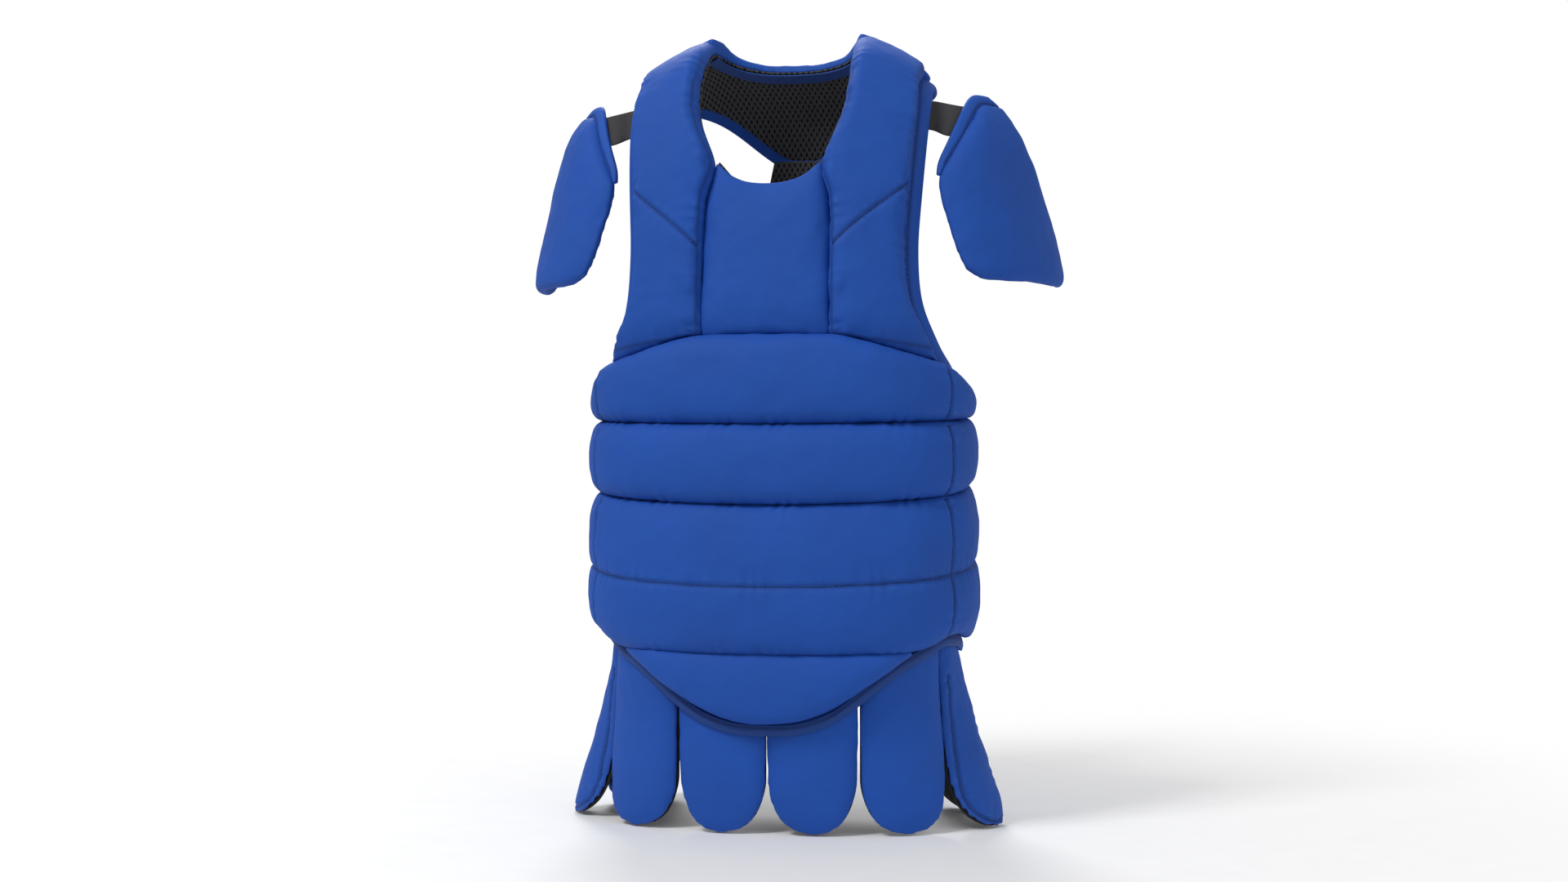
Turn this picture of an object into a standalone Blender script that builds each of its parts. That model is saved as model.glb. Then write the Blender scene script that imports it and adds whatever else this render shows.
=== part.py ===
"""Padded torso armour: foam pads and ribs sewn on a mesh-lined vest, with shoulder caps, a spine pad,
elastic straps and eight hip flaps. Units are metres, +Z is up and the armour faces -Y. The origin lies
where its shoulders rest, midway between them.

Every piece is a panel laid on one surface, the body hollow. A place on it is a pair: the bearing in
degrees, 0 at the front and 90 at the +X side, and the distance along the path that climbs the chest,
crosses the shoulder and goes down the back."""

import math
from functools import cache

import bmesh
import bpy
import numpy as np

# Body hollow
ARMOUR_DROP = 0.700
HALF_WIDTH = 0.158
FRONT_DEPTH = 0.103
BACK_DEPTH = 0.099
ROUNDNESS = 2.8
SHOULDER_FALL = 0.038
FRONT_ARCH = 0.120
BACK_ARCH = 0.105
ARCH_PATH = 0.300

# Layers, from the body outwards
GAP = 0.0008
LINING = 0.0012
LINING_FIT = 0.0008
SEAM_GAP = 0.0012
CHEST_FOOT_GAP = 0.0024
CAP_SEAM_GAP = 0.0020
EDGE_GAP = 0.0020
BINDING_WIDTH = 0.009
ARMHOLE_BINDING_WIDTH = 0.0125
BINDING_THICKNESS = 0.005
CHEST_PAD = 0.024
SHOULDER_PAD = 0.016
STERNUM_PAD = 0.016
YOKE_PAD = 0.016
RIB_PAD = 0.025
RIB_END = 0.010
BELLY_PAD = 0.019
SPINE_PAD = 0.016
FLAP_PAD = 0.011
CAP_PAD = 0.014
ELASTIC = 0.0018
TAB = 0.0026

# Heights of the padded faces' edges, as shares of their thickness
PAD_EDGE = 0.5
RIB_EDGE = 0.45
HEM_EDGE = 0.6
BUTTED_LOSS = 0.5

# Straps, belt and spine pad
STRAP_WIDTH = 0.051
STRAP_LENGTH = 0.114
STRAP_TAB_LENGTH = 0.080
STRAP_TUCK = 0.008
BELT_WIDTH = 0.100
BELT_TAPER = 0.008
BELT_TAPER_SIDES = (0.40, 0.87)
BELT_TAPER_RISE = 0.25
SPINE_WIDTH = 0.176
SPINE_HEM = 0.018
SPINE_HEM_THICKNESS = 0.013
NECK_BAND_WIDTH = 0.010
NECK_BAND = 0.0016
NECK_BAND_FIT = 0.0019

# Hip flaps
FLAP_END = ARMOUR_DROP + 0.005
FLAP_TUCK = 0.012
FLAP_FIT = 0.0004
FLAP_ROUND = 0.042
FLAP_FLARE = 0.054

# Shoulder caps
CAP_OUT = 0.205
CAP_FORWARD = 0.010
CAP_DROP = 0.046
CAP_HEIGHT = 0.168
CAP_WIDTH = 0.170
CAP_RADIUS = 0.120
CAP_BEARING = 57.0
CAP_LEAN = 0.22
CAP_DOME = 0.008
CAP_DOME_REACH = 0.35
CAP_STRAP_WIDTH = 0.029
CAP_STRAP_START = 0.004
CAP_STRAP_SIDES = (0.820, 0.848, 0.883)
CAP_STRAP_TUCKS = (-0.001, 0.007, 0.014)
CAP_STRAP_END = 0.07

# Seam levels as shares of the armour's drop: at the front's middle, at the side and at the wing's end
LEVELS = {
    "upper_groove": (0.491, 0.481, 0.484),
    "middle_groove": (0.591, 0.567, 0.571),
    "lower_stitch": (0.692, 0.662, 0.663),
    "rib_foot": (0.776, 0.769, 0.769),
}

# Sections of the body hollow: drop, half width, front depth, back depth, each a share of its own size
SECTIONS = (
    (0.000, 1.01, 0.76, 0.93),
    (0.186, 1.00, 0.77, 0.95),
    (0.286, 0.99, 0.86, 0.97),
    (0.379, 0.97, 0.94, 0.98),
    (0.486, 0.98, 0.985, 0.99),
    (0.600, 0.99, 1.00, 0.97),
    (0.714, 1.00, 1.01, 0.98),
    (0.783, 1.00, 1.00, 1.00),
    (0.880, 1.00, 0.98, 1.02),
    (1.000, 1.00, 0.99, 1.04),
)

# Chest pad, bottom to shoulder: drop and half width of its inner edge, then of the armhole beside it
CHEST_ROWS = (
    (0.378, 0.374, 0.399, 0.958),
    (0.335, 0.367, 0.357, 0.885),
    (0.290, 0.361, 0.321, 0.842),
    (0.240, 0.357, 0.279, 0.825),
    (0.200, 0.342, 0.243, 0.825),
    (0.160, 0.302, 0.186, 0.838),
    (0.112, 0.392, 0.129, 0.850),
    (0.060, 0.420, 0.086, 0.858),
)
SHOULDER_SHARES = (0.410, 0.861)
SHOULDER_BUTT = (0.36, 0.44)
ARMPIT_BLEND = 0.6

# Neckline below the sternum's corners: half width, drop
NECK_ROWS = ((0.000, 0.187), (0.130, 0.184), (0.222, 0.176), (0.302, 0.160))
NECK_BACK = 0.150
NECK_POWER = 2.6

# Where the yoke's sections meet the neckline and the shoulder, from the middle outwards
YOKE_TOP_SIDES = (0.0, 0.13, 0.25, 0.34, 0.398, 0.418, 0.53, 0.67, 0.80)

# Lower edge of the yoke, shoulder to middle: half width, drop
YOKE_ROWS = (
    (0.861, 0.0600),
    (0.800, 0.0640),
    (0.709, 0.0645),
    (0.600, 0.0670),
    (0.494, 0.0743),
    (0.390, 0.0900),
    (0.285, 0.1100),
    (0.177, 0.1286),
    (0.089, 0.1386),
    (0.000, 0.1414),
)

# Edge of a wing from the armpit, round its end, to the side of the hem: bearing, drop
WING_ROWS = (
    (90.0, 0.430),
    (104.0, 0.450),
    (116.0, 0.472),
    (127.0, 0.489),
    (138.0, 0.503),
    (143.5, 0.517),
    (147.3, 0.534),
    (148.7, 0.564),
    (148.7, 0.614),
    (148.7, 0.671),
    (148.0, 0.703),
    (145.2, 0.724),
    (140.0, 0.743),
    (131.0, 0.760),
    (120.0, 0.776),
    (108.0, 0.785),
    (97.0, 0.784),
    (90.0, 0.779),
)
WING_TOP_ROWS = 8

# Hem of the front from the side to the middle: bearing, drop
HEM_ROWS = (
    (90.0, 0.779),
    (78.0, 0.773),
    (64.0, 0.770),
    (56.0, 0.778),
    (46.0, 0.793),
    (38.0, 0.812),
    (31.0, 0.834),
    (23.5, 0.857),
    (16.0, 0.872),
    (8.0, 0.879),
    (0.0, 0.880),
)

# Rib sections of the +X half, as bearings; the last is worked out at the wing's end
RIB_BEARINGS = (0, 12, 24, 36, 46, 56, 64, 72, 82, 92, 102, 112, 117, 124, 131, 138, 142)
RIB_FULL_TO = 60
RIB_THIN_FROM = 145
UPPER_RIB_END = 102
BELLY_END = 46

# Hip flaps of the +X half: name, first and last bearing
FLAPS = (
    ("front_flap", 0.5, 28.8),
    ("front_flap", 29.8, 64.0),
    ("side_flap", 65.5, 98.0),
    ("rear_flap", 99.5, 137.0),
)

# How far round a wing its seam levels have settled, as a share of a quarter turn
LEVEL_SETTLES = 0.65

# The groove stitched across the lowest rib: depth in front, what it gains on the wings, its width in
# shares of the rib, and the bearings between which it deepens
RIB_STITCH = (0.10, 0.35, 0.07)
RIB_STITCH_DEEPENS = (50.0, 90.0)

# Outline of a shoulder cap: drop from its top, front edge, rear edge, shares of its height and width
CAP_ROWS = (
    (0.00, -0.14, 0.02),
    (0.07, -0.22, 0.09),
    (0.20, -0.32, 0.16),
    (0.39, -0.44, 0.26),
    (0.52, -0.44, 0.33),
    (0.70, -0.40, 0.42),
    (0.86, -0.36, 0.48),
    (0.93, -0.34, 0.49),
    (0.975, -0.31, 0.46),
    (1.00, -0.25, 0.40),
)

# Cap edging, from the back of the cap's top, over it and down the front edge: its outer line and its
# inner one, each a share of the width rearwards and of the height down
CAP_BINDING_ROWS = (
    (0.066, 0.046, 0.084, 0.066),
    (0.020, 0.000, 0.022, 0.054),
    (-0.060, 0.000, -0.045, 0.050),
    (-0.140, 0.000, -0.105, 0.063),
    (-0.220, 0.070, -0.170, 0.112),
    (-0.272, 0.135, -0.222, 0.172),
    (-0.320, 0.200, -0.272, 0.235),
    (-0.383, 0.295, -0.338, 0.318),
    (-0.440, 0.390, -0.402, 0.406),
    (-0.447, 0.455, -0.434, 0.460),
)
CAP_PAD_DROPS = (0.068, 0.150, 0.270, 0.425, 0.490, 0.700, 0.860, 0.930, 0.975, 1.000)

# Spine pad, top to bottom: drop, width share
SPINE_ROWS = (
    (0.124, 0.290),
    (0.133, 0.307),
    (0.190, 0.400),
    (0.250, 0.497),
    (0.310, 0.594),
    (0.370, 0.691),
    (0.430, 0.788),
    (0.490, 0.885),
    (0.540, 0.950),
    (0.600, 0.985),
    (0.660, 1.000),
    (0.720, 1.000),
    (0.770, 0.990),
    (0.795, 0.970),
)
SPINE_HEM_SHARES = (0.965, 0.955, 0.86)
BELT_TOP = 0.537

# Belt from its end under the +X wing to its free end on the -X one: share of the half width
BELT_SIDES = (-0.625, -0.585, -0.54, -0.35, -0.12, 0.12, 0.3, 0.43, 0.54, 0.60, 0.66, 0.715)
BELT_TAB_SIDES = (0.718, 0.76, 0.80, 0.84)

# How far the flaps swing out at their ends: bearing, share of the flare
FLARE_ROWS = ((0, 0.0), (35, 0.0), (62, 0.25), (80, 1.0), (98, 1.0), (104, 0.6), (137, 0.35))
FLARE_POWER = 1.25

# Row shares of the grids: padded across, plain across
PADDED = (0.0, 0.08, 0.32, 0.68, 0.92, 1.0)
PLAIN = (0.0, 0.5, 1.0)
LINING_SHARES = (0.0, 0.33, 0.67, 1.0)

BLUE = (0.009, 0.082, 0.424)
DARK_BLUE = (0.008, 0.045, 0.215)
STRAP_GREY = (0.032, 0.030, 0.032)
HOOK_BLACK = (0.011, 0.011, 0.011)
MESH_BLACK = (0.016, 0.016, 0.016)
FLAP_BLACK = (0.008, 0.008, 0.008)

SIDES = (("left", -1), ("right", 1))


def clear_scene():
    for thing in list(bpy.data.objects):
        bpy.data.objects.remove(thing, do_unlink=True)


def make_material(name, colour, roughness):
    """A Principled material of one colour, made once."""
    if name in bpy.data.materials:
        return bpy.data.materials[name]
    material = bpy.data.materials.new(name)
    material.use_nodes = True
    shader = material.node_tree.nodes["Principled BSDF"]
    shader.inputs["Base Color"].default_value = (*colour, 1.0)
    shader.inputs["Roughness"].default_value = roughness
    shader.inputs["Metallic"].default_value = 0.0
    return material


def blue_cloth():
    return make_material("blue_cloth", BLUE, 0.75)


def dark_binding():
    return make_material("dark_binding", DARK_BLUE, 0.7)


def black_mesh():
    return make_material("black_mesh", MESH_BLACK, 0.85)


def elastic_webbing():
    return make_material("elastic_webbing", STRAP_GREY, 0.8)


def hook_tape():
    return make_material("hook_tape", HOOK_BLACK, 0.9)


def flap_lining_cloth():
    return make_material("flap_lining_cloth", FLAP_BLACK, 0.85)


def smooth_curve(places, values):
    """A function for the smooth curve that passes through the values at their places."""
    places = np.asarray(places, float)
    values = np.asarray(values, float)
    slopes = np.gradient(values, places)

    def value_at(at):
        first = min(max(int(np.searchsorted(places, at)) - 1, 0), len(places) - 2)
        span = places[first + 1] - places[first]
        t = (at - places[first]) / span
        start = (1 + 2 * t) * (1 - t) ** 2 * values[first]
        start += t * (1 - t) ** 2 * span * slopes[first]
        end = t * t * (3 - 2 * t) * values[first + 1]
        end += t * t * (t - 1) * span * slopes[first + 1]
        return float(start + end)

    return value_at


def finer(line, parts):
    """A line of places with `parts` steps for each one that it had, on a smooth curve."""
    curves = [smooth_curve(range(len(line)), column) for column in zip(*line)]
    steps = np.linspace(0, len(line) - 1, parts * (len(line) - 1) + 1)
    return [tuple(curve(step) for curve in curves) for step in steps]


@cache
def section_curves():
    drops = [row[0] for row in SECTIONS]
    return [smooth_curve(drops, [row[column] for row in SECTIONS]) for column in (1, 2, 3)]


def section(drop):
    """Half width, front depth and back depth of the body hollow at a drop below the shoulders."""
    share = min(max(drop / ARMOUR_DROP, 0.0), 1.0)
    sizes = (HALF_WIDTH, FRONT_DEPTH, BACK_DEPTH)
    return [size * curve(share) for size, curve in zip(sizes, section_curves())]


def side_and_depth(bearing):
    """Where a bearing meets the horizontal section, as shares of its half width and its depth."""
    turn = math.radians(bearing)
    s, c = math.sin(turn), math.cos(turn)
    reach = (abs(s) ** ROUNDNESS + abs(c) ** ROUNDNESS) ** (-1 / ROUNDNESS)
    return reach * s, reach * c


def bearing_of(side):
    """The front bearing that lies at a share of the half width."""
    depth = max(1 - abs(side) ** ROUNDNESS, 0.0) ** (1 / ROUNDNESS)
    return math.degrees(math.atan2(side, depth))


def shoulder_fall(side):
    """How far the shoulder line has fallen at a share of the half width."""
    past_neck = max(abs(side) - SHOULDER_SHARES[0], 0.0)
    return SHOULDER_FALL * (past_neck / (SHOULDER_SHARES[1] - SHOULDER_SHARES[0])) ** 1.15


def at_front(bearing, drop):
    """The place at a bearing and a drop, on the side of the path that climbs the chest."""
    sink = drop - shoulder_fall(side_and_depth(bearing)[0])
    if sink >= FRONT_ARCH:
        return bearing, FRONT_ARCH - sink
    return bearing, ARCH_PATH * math.asin(1 - max(sink, 0.0) / FRONT_ARCH) / math.pi


def at_back(bearing, drop):
    """The place at a bearing and a drop, on the side of the path that goes down the back."""
    sink = drop - shoulder_fall(side_and_depth(bearing)[0])
    if sink >= BACK_ARCH:
        return bearing, ARCH_PATH + sink - BACK_ARCH
    return bearing, ARCH_PATH * (1 - math.asin(1 - max(sink, 0.0) / BACK_ARCH) / math.pi)


def on_ridge(side, behind=0.0):
    """The place on top of the shoulder at a share of the half width."""
    return bearing_of(side), ARCH_PATH / 2 + behind


def skin(place):
    """The point of the body hollow at a place."""
    bearing, path = place
    side, depth = side_and_depth(bearing)
    if path < 0:
        sink, ahead = FRONT_ARCH - path, 1.0
    elif path > ARCH_PATH:
        sink, ahead = BACK_ARCH + path - ARCH_PATH, -1.0
    else:
        rise = math.pi * path / ARCH_PATH
        arch = FRONT_ARCH if path < ARCH_PATH / 2 else BACK_ARCH
        sink, ahead = arch * (1 - math.sin(rise)), math.cos(rise)
    drop = shoulder_fall(side) + sink
    width, front, back = section(drop)
    forward = depth * ahead
    return np.array((width * side, -forward * (front if forward > 0 else back), -drop))


def slopes_at(place):
    """How the skin's point moves for a degree of bearing and for a metre of path."""
    bearing, path = place
    step = 0.001
    around = (skin((bearing + 0.5, path)) - skin((bearing - 0.5, path))) / 1.0
    along = (skin((bearing, path + step)) - skin((bearing, path - step))) / (2 * step)
    return around, along


def outward(place):
    around, along = slopes_at(place)
    normal = np.cross(around, along)
    return normal / np.linalg.norm(normal)


def on_body(place, height):
    """The point at a height outside the body hollow."""
    return skin(place) + outward(place) * height


def mirrored(line):
    return [(-bearing, path) for bearing, path in line]


def inset(line, distance):
    """The line moved to its own left by a distance, seen from outside, with its corners mitred."""
    points = [skin(place) for place in line]
    moved = []
    for number, place in enumerate(line):
        normal = outward(place)
        ways = []
        if number > 0:
            ways.append(np.cross(normal, points[number] - points[number - 1]))
        if number < len(line) - 1:
            ways.append(np.cross(normal, points[number + 1] - points[number]))
        ways = [way / np.linalg.norm(way) for way in ways]
        way = sum(ways) / np.linalg.norm(sum(ways))
        shift = way * distance / max(float(way @ ways[0]), 0.5)
        change = np.linalg.lstsq(np.column_stack(slopes_at(place)), shift, rcond=None)[0]
        moved.append((place[0] + change[0], place[1] + change[1]))
    return moved


def path_on(line, bearing):
    """The path at a bearing on a line whose bearings rise."""
    return float(np.interp(bearing, [place[0] for place in line], [place[1] for place in line]))


def ruled(lines, shares):
    """A grid of places between two or more lines of as many places, a row for each share."""
    grid = []
    for share in shares:
        spot = share * (len(lines) - 1)
        first = min(int(spot), len(lines) - 2)
        t = spot - first
        pairs = zip(lines[first], lines[first + 1])
        grid.append([(a[0] + t * (b[0] - a[0]), a[1] + t * (b[1] - a[1])) for a, b in pairs])
    return grid


def turned(grid):
    return [list(column) for column in zip(*grid)]


def bulge(share, edge, power=2.6):
    """A padded face's height across it, from `edge` at both edges to 1 in the middle."""
    return edge + (1 - edge) * max(1 - abs(2 * share - 1) ** power, 0.0) ** (1 / power)


def make_panel(name, grid, base, thickness, material, place=on_body):
    """A closed panel on a grid of places. Its base height and its thickness are numbers, or functions
    of the row and column shares and of the place."""
    rows, columns = len(grid), len(grid[0])
    mesh = bpy.data.meshes.new(name)
    shape = bmesh.new()
    number_of = shape.verts.layers.int.new("number")
    bmesh.ops.create_grid(shape, x_segments=columns - 1, y_segments=rows - 1, size=1)
    shape.verts.ensure_lookup_table()
    for number, vertex in enumerate(shape.verts):
        vertex[number_of] = number
    below = set(shape.verts)
    bmesh.ops.extrude_face_region(shape, geom=list(shape.faces))
    for vertex in shape.verts:
        row, column = divmod(vertex[number_of], columns)
        spot = grid[row][column]
        shares = (row / (rows - 1), column / (columns - 1))
        height = base(*shares, spot) if callable(base) else base
        if vertex not in below:
            height += thickness(*shares, spot) if callable(thickness) else thickness
        vertex.co = place(spot, height)
    bmesh.ops.recalc_face_normals(shape, faces=list(shape.faces))
    if shape.calc_volume(signed=True) < 0:
        bmesh.ops.reverse_faces(shape, faces=list(shape.faces))
    shape.to_mesh(mesh)
    shape.free()
    mesh.shade_smooth()
    mesh.set_sharp_from_angle(angle=math.radians(50))
    mesh.materials.append(material)
    panel = bpy.data.objects.new(name, mesh)
    bpy.data.collections["padded_torso_armour"].objects.link(panel)
    return panel


def padding(full, edge, row_shares, column_shares, butted=None):
    """A thickness that is full in the middle and thin at all four edges. `butted` is a function of the
    place for how far the last row stays full there, because it meets another pad."""

    def thickness(row, column, place):
        across = row_shares[round(row * (len(row_shares) - 1))]
        along = column_shares[round(column * (len(column_shares) - 1))]
        if butted:
            across *= 1 - BUTTED_LOSS * butted(place)
        height = full(place) if callable(full) else full
        return height * bulge(across, edge) * bulge(along, edge, 6.0)

    return thickness


def sewn_in(place):
    return 1.0


def at_shoulder_seam(place):
    """1 where the pads meet on top of the shoulder, 0 along the neckline."""
    side = abs(side_and_depth(place[0])[0])
    return float(np.interp(side, SHOULDER_BUTT, (0.0, 1.0)))


def even(count):
    return [number / (count - 1) for number in range(count)]


@cache
def armhole_line():
    """The armhole's edge on the +X side, from the chest pad's foot to the top of the shoulder."""
    line = [at_front(bearing_of(row[3]), row[2] * ARMOUR_DROP) for row in CHEST_ROWS]
    return finer(line + [on_ridge(SHOULDER_SHARES[1])], 2)


@cache
def chest_inner_line():
    """The chest pad's inner edge: up the sternum seam, then along the neckline to the shoulder."""
    line = [at_front(bearing_of(row[1]), row[0] * ARMOUR_DROP) for row in CHEST_ROWS]
    return finer(line + [on_ridge(SHOULDER_SHARES[0])], 2)


@cache
def armpit_line():
    """The armhole's edge below the chest pad, from the side up to the pad's foot."""
    foot = CHEST_ROWS[0]
    return [
        at_front(90.0, WING_ROWS[0][1] * ARMOUR_DROP),
        at_front(80.0, (foot[2] + ARMPIT_BLEND * (WING_ROWS[0][1] - foot[2])) * ARMOUR_DROP),
        at_front(bearing_of(foot[3]), foot[2] * ARMOUR_DROP),
    ]


@cache
def wing_line():
    return finer([at_front(bearing, drop * ARMOUR_DROP) for bearing, drop in WING_ROWS], 2)


@cache
def wing_top_line():
    """The pads' edge along the top of a wing, with rising bearings."""
    return pads_edge(wing_line(), -1)[: 2 * WING_TOP_ROWS - 1]


@cache
def wing_low_line():
    return pads_edge(wing_line(), -1)[2 * WING_TOP_ROWS + 3 :][::-1]


@cache
def waist_foot_lines():
    return pads_edge(hem_line(), -1)[::-1], wing_low_line()


@cache
def hem_line():
    """The hem from one side, by the front, to the other, with falling bearings."""
    half = finer([at_front(bearing, drop * ARMOUR_DROP) for bearing, drop in HEM_ROWS], 2)
    return half + mirrored(half[:-1])[::-1]


def pads_edge(line, way, binding=BINDING_WIDTH):
    """The pads' edge inside the binding of a line, to its left or, with a way of -1, to its right."""
    return inset(line, way * (binding + EDGE_GAP))


def level(name, bearing):
    """The path of a seam level at a bearing."""
    middle, side, end = (share * ARMOUR_DROP for share in LEVELS[name])
    turn = abs(bearing) / 90.0
    if turn <= 1:
        drop = middle + (side - middle) * turn**2
    else:
        drop = side + (end - side) * min((turn - 1) / LEVEL_SETTLES, 1.0)
    return at_front(bearing, drop)[1]


@cache
def pad_end_bearing():
    """The bearing at which the ribs stop, inside the binding of the wing's end."""
    end = WING_ROWS[WING_TOP_ROWS][0]
    around, _ = slopes_at(at_front(end, LEVELS["middle_groove"][2] * ARMOUR_DROP))
    return end - (BINDING_WIDTH + EDGE_GAP) / float(np.linalg.norm(around))


def rib_bearings(last):
    """Bearings of the rib sections from one end to the other."""
    half = [bearing for bearing in RIB_BEARINGS if bearing <= last]
    if last > RIB_BEARINGS[-1]:
        half.append(last)
    return [-bearing for bearing in half[:0:-1]] + half


@cache
def waist_top_line():
    """The upper edge of the ribs: the chest seam, then the armpit and the wing's top."""
    middle = level_of_chest()
    foot = pads_edge(armhole_line(), 1, ARMHOLE_BINDING_WIDTH)[0]
    seam = [(0.0, middle), (bearing_of(CHEST_ROWS[0][1]), middle)]
    armpit = pads_edge(armpit_line(), 1, ARMHOLE_BINDING_WIDTH)
    return seam + [foot, armpit[1]] + wing_top_line()


def waist_top(bearing):
    return path_on(waist_top_line(), abs(bearing)) - CHEST_FOOT_GAP


@cache
def level_of_chest():
    return at_front(0.0, CHEST_ROWS[0][0] * ARMOUR_DROP)[1]


def waist_foot(bearing):
    """The lower edge of the pads: the hem's, then the wing's."""
    turn = abs(bearing)
    hem, wing = waist_foot_lines()
    return path_on(hem if turn <= 90 else wing, turn) + SEAM_GAP


def rib_height(place):
    """A rib's full thickness, less towards the wing's end where the belt lies."""
    turn = min(max((abs(place[0]) - RIB_FULL_TO) / (RIB_THIN_FROM - RIB_FULL_TO), 0.0), 1.0)
    return RIB_PAD + (RIB_END - RIB_PAD) * turn * turn * (3 - 2 * turn)


def chest_height(place):
    """A chest pad's full thickness, less towards the top of the shoulder."""
    climb = min(max(place[1] / (ARCH_PATH / 2), 0.0), 1.0)
    return CHEST_PAD + (SHOULDER_PAD - CHEST_PAD) * climb


def make_chest(side_name, sign):
    outer = pads_edge(armhole_line(), 1, ARMHOLE_BINDING_WIDTH)
    inner = chest_inner_line()
    outer[-1] = (outer[-1][0], outer[-1][1] - SEAM_GAP / 2)
    inner = inset(inner, -SEAM_GAP / 2)
    inner[-1] = (inner[-1][0], outer[-1][1])
    rows = [0.0, 0.09, 0.3, 0.7, 0.91, 1.0]
    columns = even(len(outer))
    for kind, shares in (("pad", rows), ("lining", LINING_SHARES)):
        lines = [inner, outer]
        grid = turned(ruled(lines, shares))
        if sign < 0:
            grid = [mirrored(row) for row in grid]
        name = f"chest_{kind}_{side_name}"
        if kind == "pad":
            thickness = padding(chest_height, PAD_EDGE, columns, rows, at_shoulder_seam)
            make_panel(name, grid, LINING + LINING_FIT, thickness, blue_cloth())
        else:
            make_panel(name, grid, 0.0, LINING, black_mesh())


def make_sternum():
    seam = inset(chest_inner_line()[:11], SEAM_GAP / 2)
    corner = NECK_ROWS[-1]
    rows = even(len(seam))
    columns = [-1.0, -0.9, -0.65, -0.33, 0.0, 0.33, 0.65, 0.9, 1.0]
    neck_curve = smooth_curve(*zip(*NECK_ROWS))
    grid = []
    for row, (bearing, path) in zip(rows, seam):
        line = []
        for column in columns:
            neck = neck_curve(abs(column) * corner[0])
            dip = (neck - corner[1]) * ARMOUR_DROP * row**2
            line.append((bearing * column, path - dip))
        grid.append(line)
    shares = [(column + 1) / 2 for column in columns]
    thickness = padding(STERNUM_PAD, PAD_EDGE, rows, shares)
    make_panel("sternum_pad", grid, LINING + LINING_FIT, thickness, blue_cloth())
    make_panel("sternum_lining", grid[::2], 0.0, LINING, black_mesh())


@cache
def yoke_edge():
    """The yoke's lower edge from the -X shoulder to the +X one."""
    half = [at_back(bearing_of(side), drop * ARMOUR_DROP) for side, drop in YOKE_ROWS]
    half = [on_ridge(SHOULDER_SHARES[1], SEAM_GAP)] + half
    half = half[:2] + finer(half[2:], 1)
    return mirrored(half[:-1]) + half[::-1]


def neck_back(side):
    """The path of the neckline behind the shoulders at a share of the half width."""
    share = min(abs(side) / SHOULDER_SHARES[0], 1.0)
    return ARCH_PATH * (0.5 + NECK_BACK * (1 - share**NECK_POWER) ** (1 / NECK_POWER))


def make_yoke():
    edge = yoke_edge()
    lower = pads_edge(edge, -1, BINDING_WIDTH + GAP - EDGE_GAP)[2:-2]
    half = [(bearing_of(side), neck_back(side) + SEAM_GAP / 2) for side in YOKE_TOP_SIDES]
    upper = mirrored(half[:0:-1]) + half
    rows = [0.0, 0.1, 0.26, 0.42, 0.58, 0.74, 0.9, 1.0]
    columns = even(len(lower))
    grid = ruled([lower, upper], rows)
    thickness = padding(YOKE_PAD, PAD_EDGE, rows, columns, at_shoulder_seam)
    make_panel("yoke_pad", grid, LINING + LINING_FIT, thickness, blue_cloth())
    make_panel("yoke_lining", ruled([lower, upper], rows), 0.0, LINING, black_mesh())


def make_ribs():
    ends = pad_end_bearing()
    levels = ("upper_groove", "middle_groove")
    half_gap = SEAM_GAP / 2

    def top_line(name, bearings):
        if name is None:
            return [(b, waist_top(b)) for b in bearings]
        return [(b, min(level(name, b) - half_gap, waist_top(b))) for b in bearings]

    def foot_line(name, bearings):
        return [(b, level(name, b) + half_gap) for b in bearings]

    for name, top, foot, last in (
        ("rib_upper", None, levels[0], UPPER_RIB_END),
        ("rib_middle", levels[0], levels[1], ends),
    ):
        bearings = rib_bearings(last)
        grid = ruled([foot_line(foot, bearings), top_line(top, bearings)], PADDED)
        thickness = padding(rib_height, RIB_EDGE, PADDED, even(len(bearings)))
        make_panel(name, grid, LINING + LINING_FIT, thickness, blue_cloth())
    make_lower_rib(rib_bearings(ends), top_line(levels[1], rib_bearings(ends)))
    bearings = rib_bearings(ends)
    lines = [[(b, waist_foot(b)) for b in bearings], [(b, waist_top(b)) for b in bearings]]
    make_panel("waist_lining", ruled(lines, PLAIN), 0.0, LINING, black_mesh())


def make_lower_rib(bearings, top):
    """The lowest rib, stitched across: a faint line in front that is a groove on the wings."""
    foot = [(b, max(level("rib_foot", b) + SEAM_GAP / 2, waist_foot(b))) for b in bearings]
    stitch = [(b, level("lower_stitch", b)) for b in bearings]
    rows = (0.0, 0.05, 0.25, 0.44, 0.5, 0.56, 0.75, 0.95, 1.0)
    edges = padding(rib_height, RIB_EDGE, rows, even(len(bearings)))
    depth, gain, width = RIB_STITCH

    def thickness(row, column, place):
        share = rows[round(row * (len(rows) - 1))]
        turn = float(np.interp(abs(place[0]), RIB_STITCH_DEEPENS, (0.0, 1.0)))
        groove = (depth + gain * turn) * math.exp(-(((share - 0.5) / width) ** 2))
        return edges(row, column, place) * (1 - groove)

    grid = ruled([foot, stitch, top], rows)
    make_panel("rib_lower", grid, LINING + LINING_FIT, thickness, blue_cloth())


def make_belly():
    bearings = rib_bearings(BELLY_END)
    top = [(b, level("rib_foot", b) - SEAM_GAP / 2) for b in bearings]
    foot = [(b, waist_foot(b)) for b in bearings]
    rows = (0.0, 0.1, 0.35, 0.65, 0.9, 1.0)
    thickness = padding(BELLY_PAD, PAD_EDGE, rows, even(len(bearings)))
    make_panel("belly_pad", ruled([foot, top], rows), LINING + LINING_FIT, thickness, blue_cloth())


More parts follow.
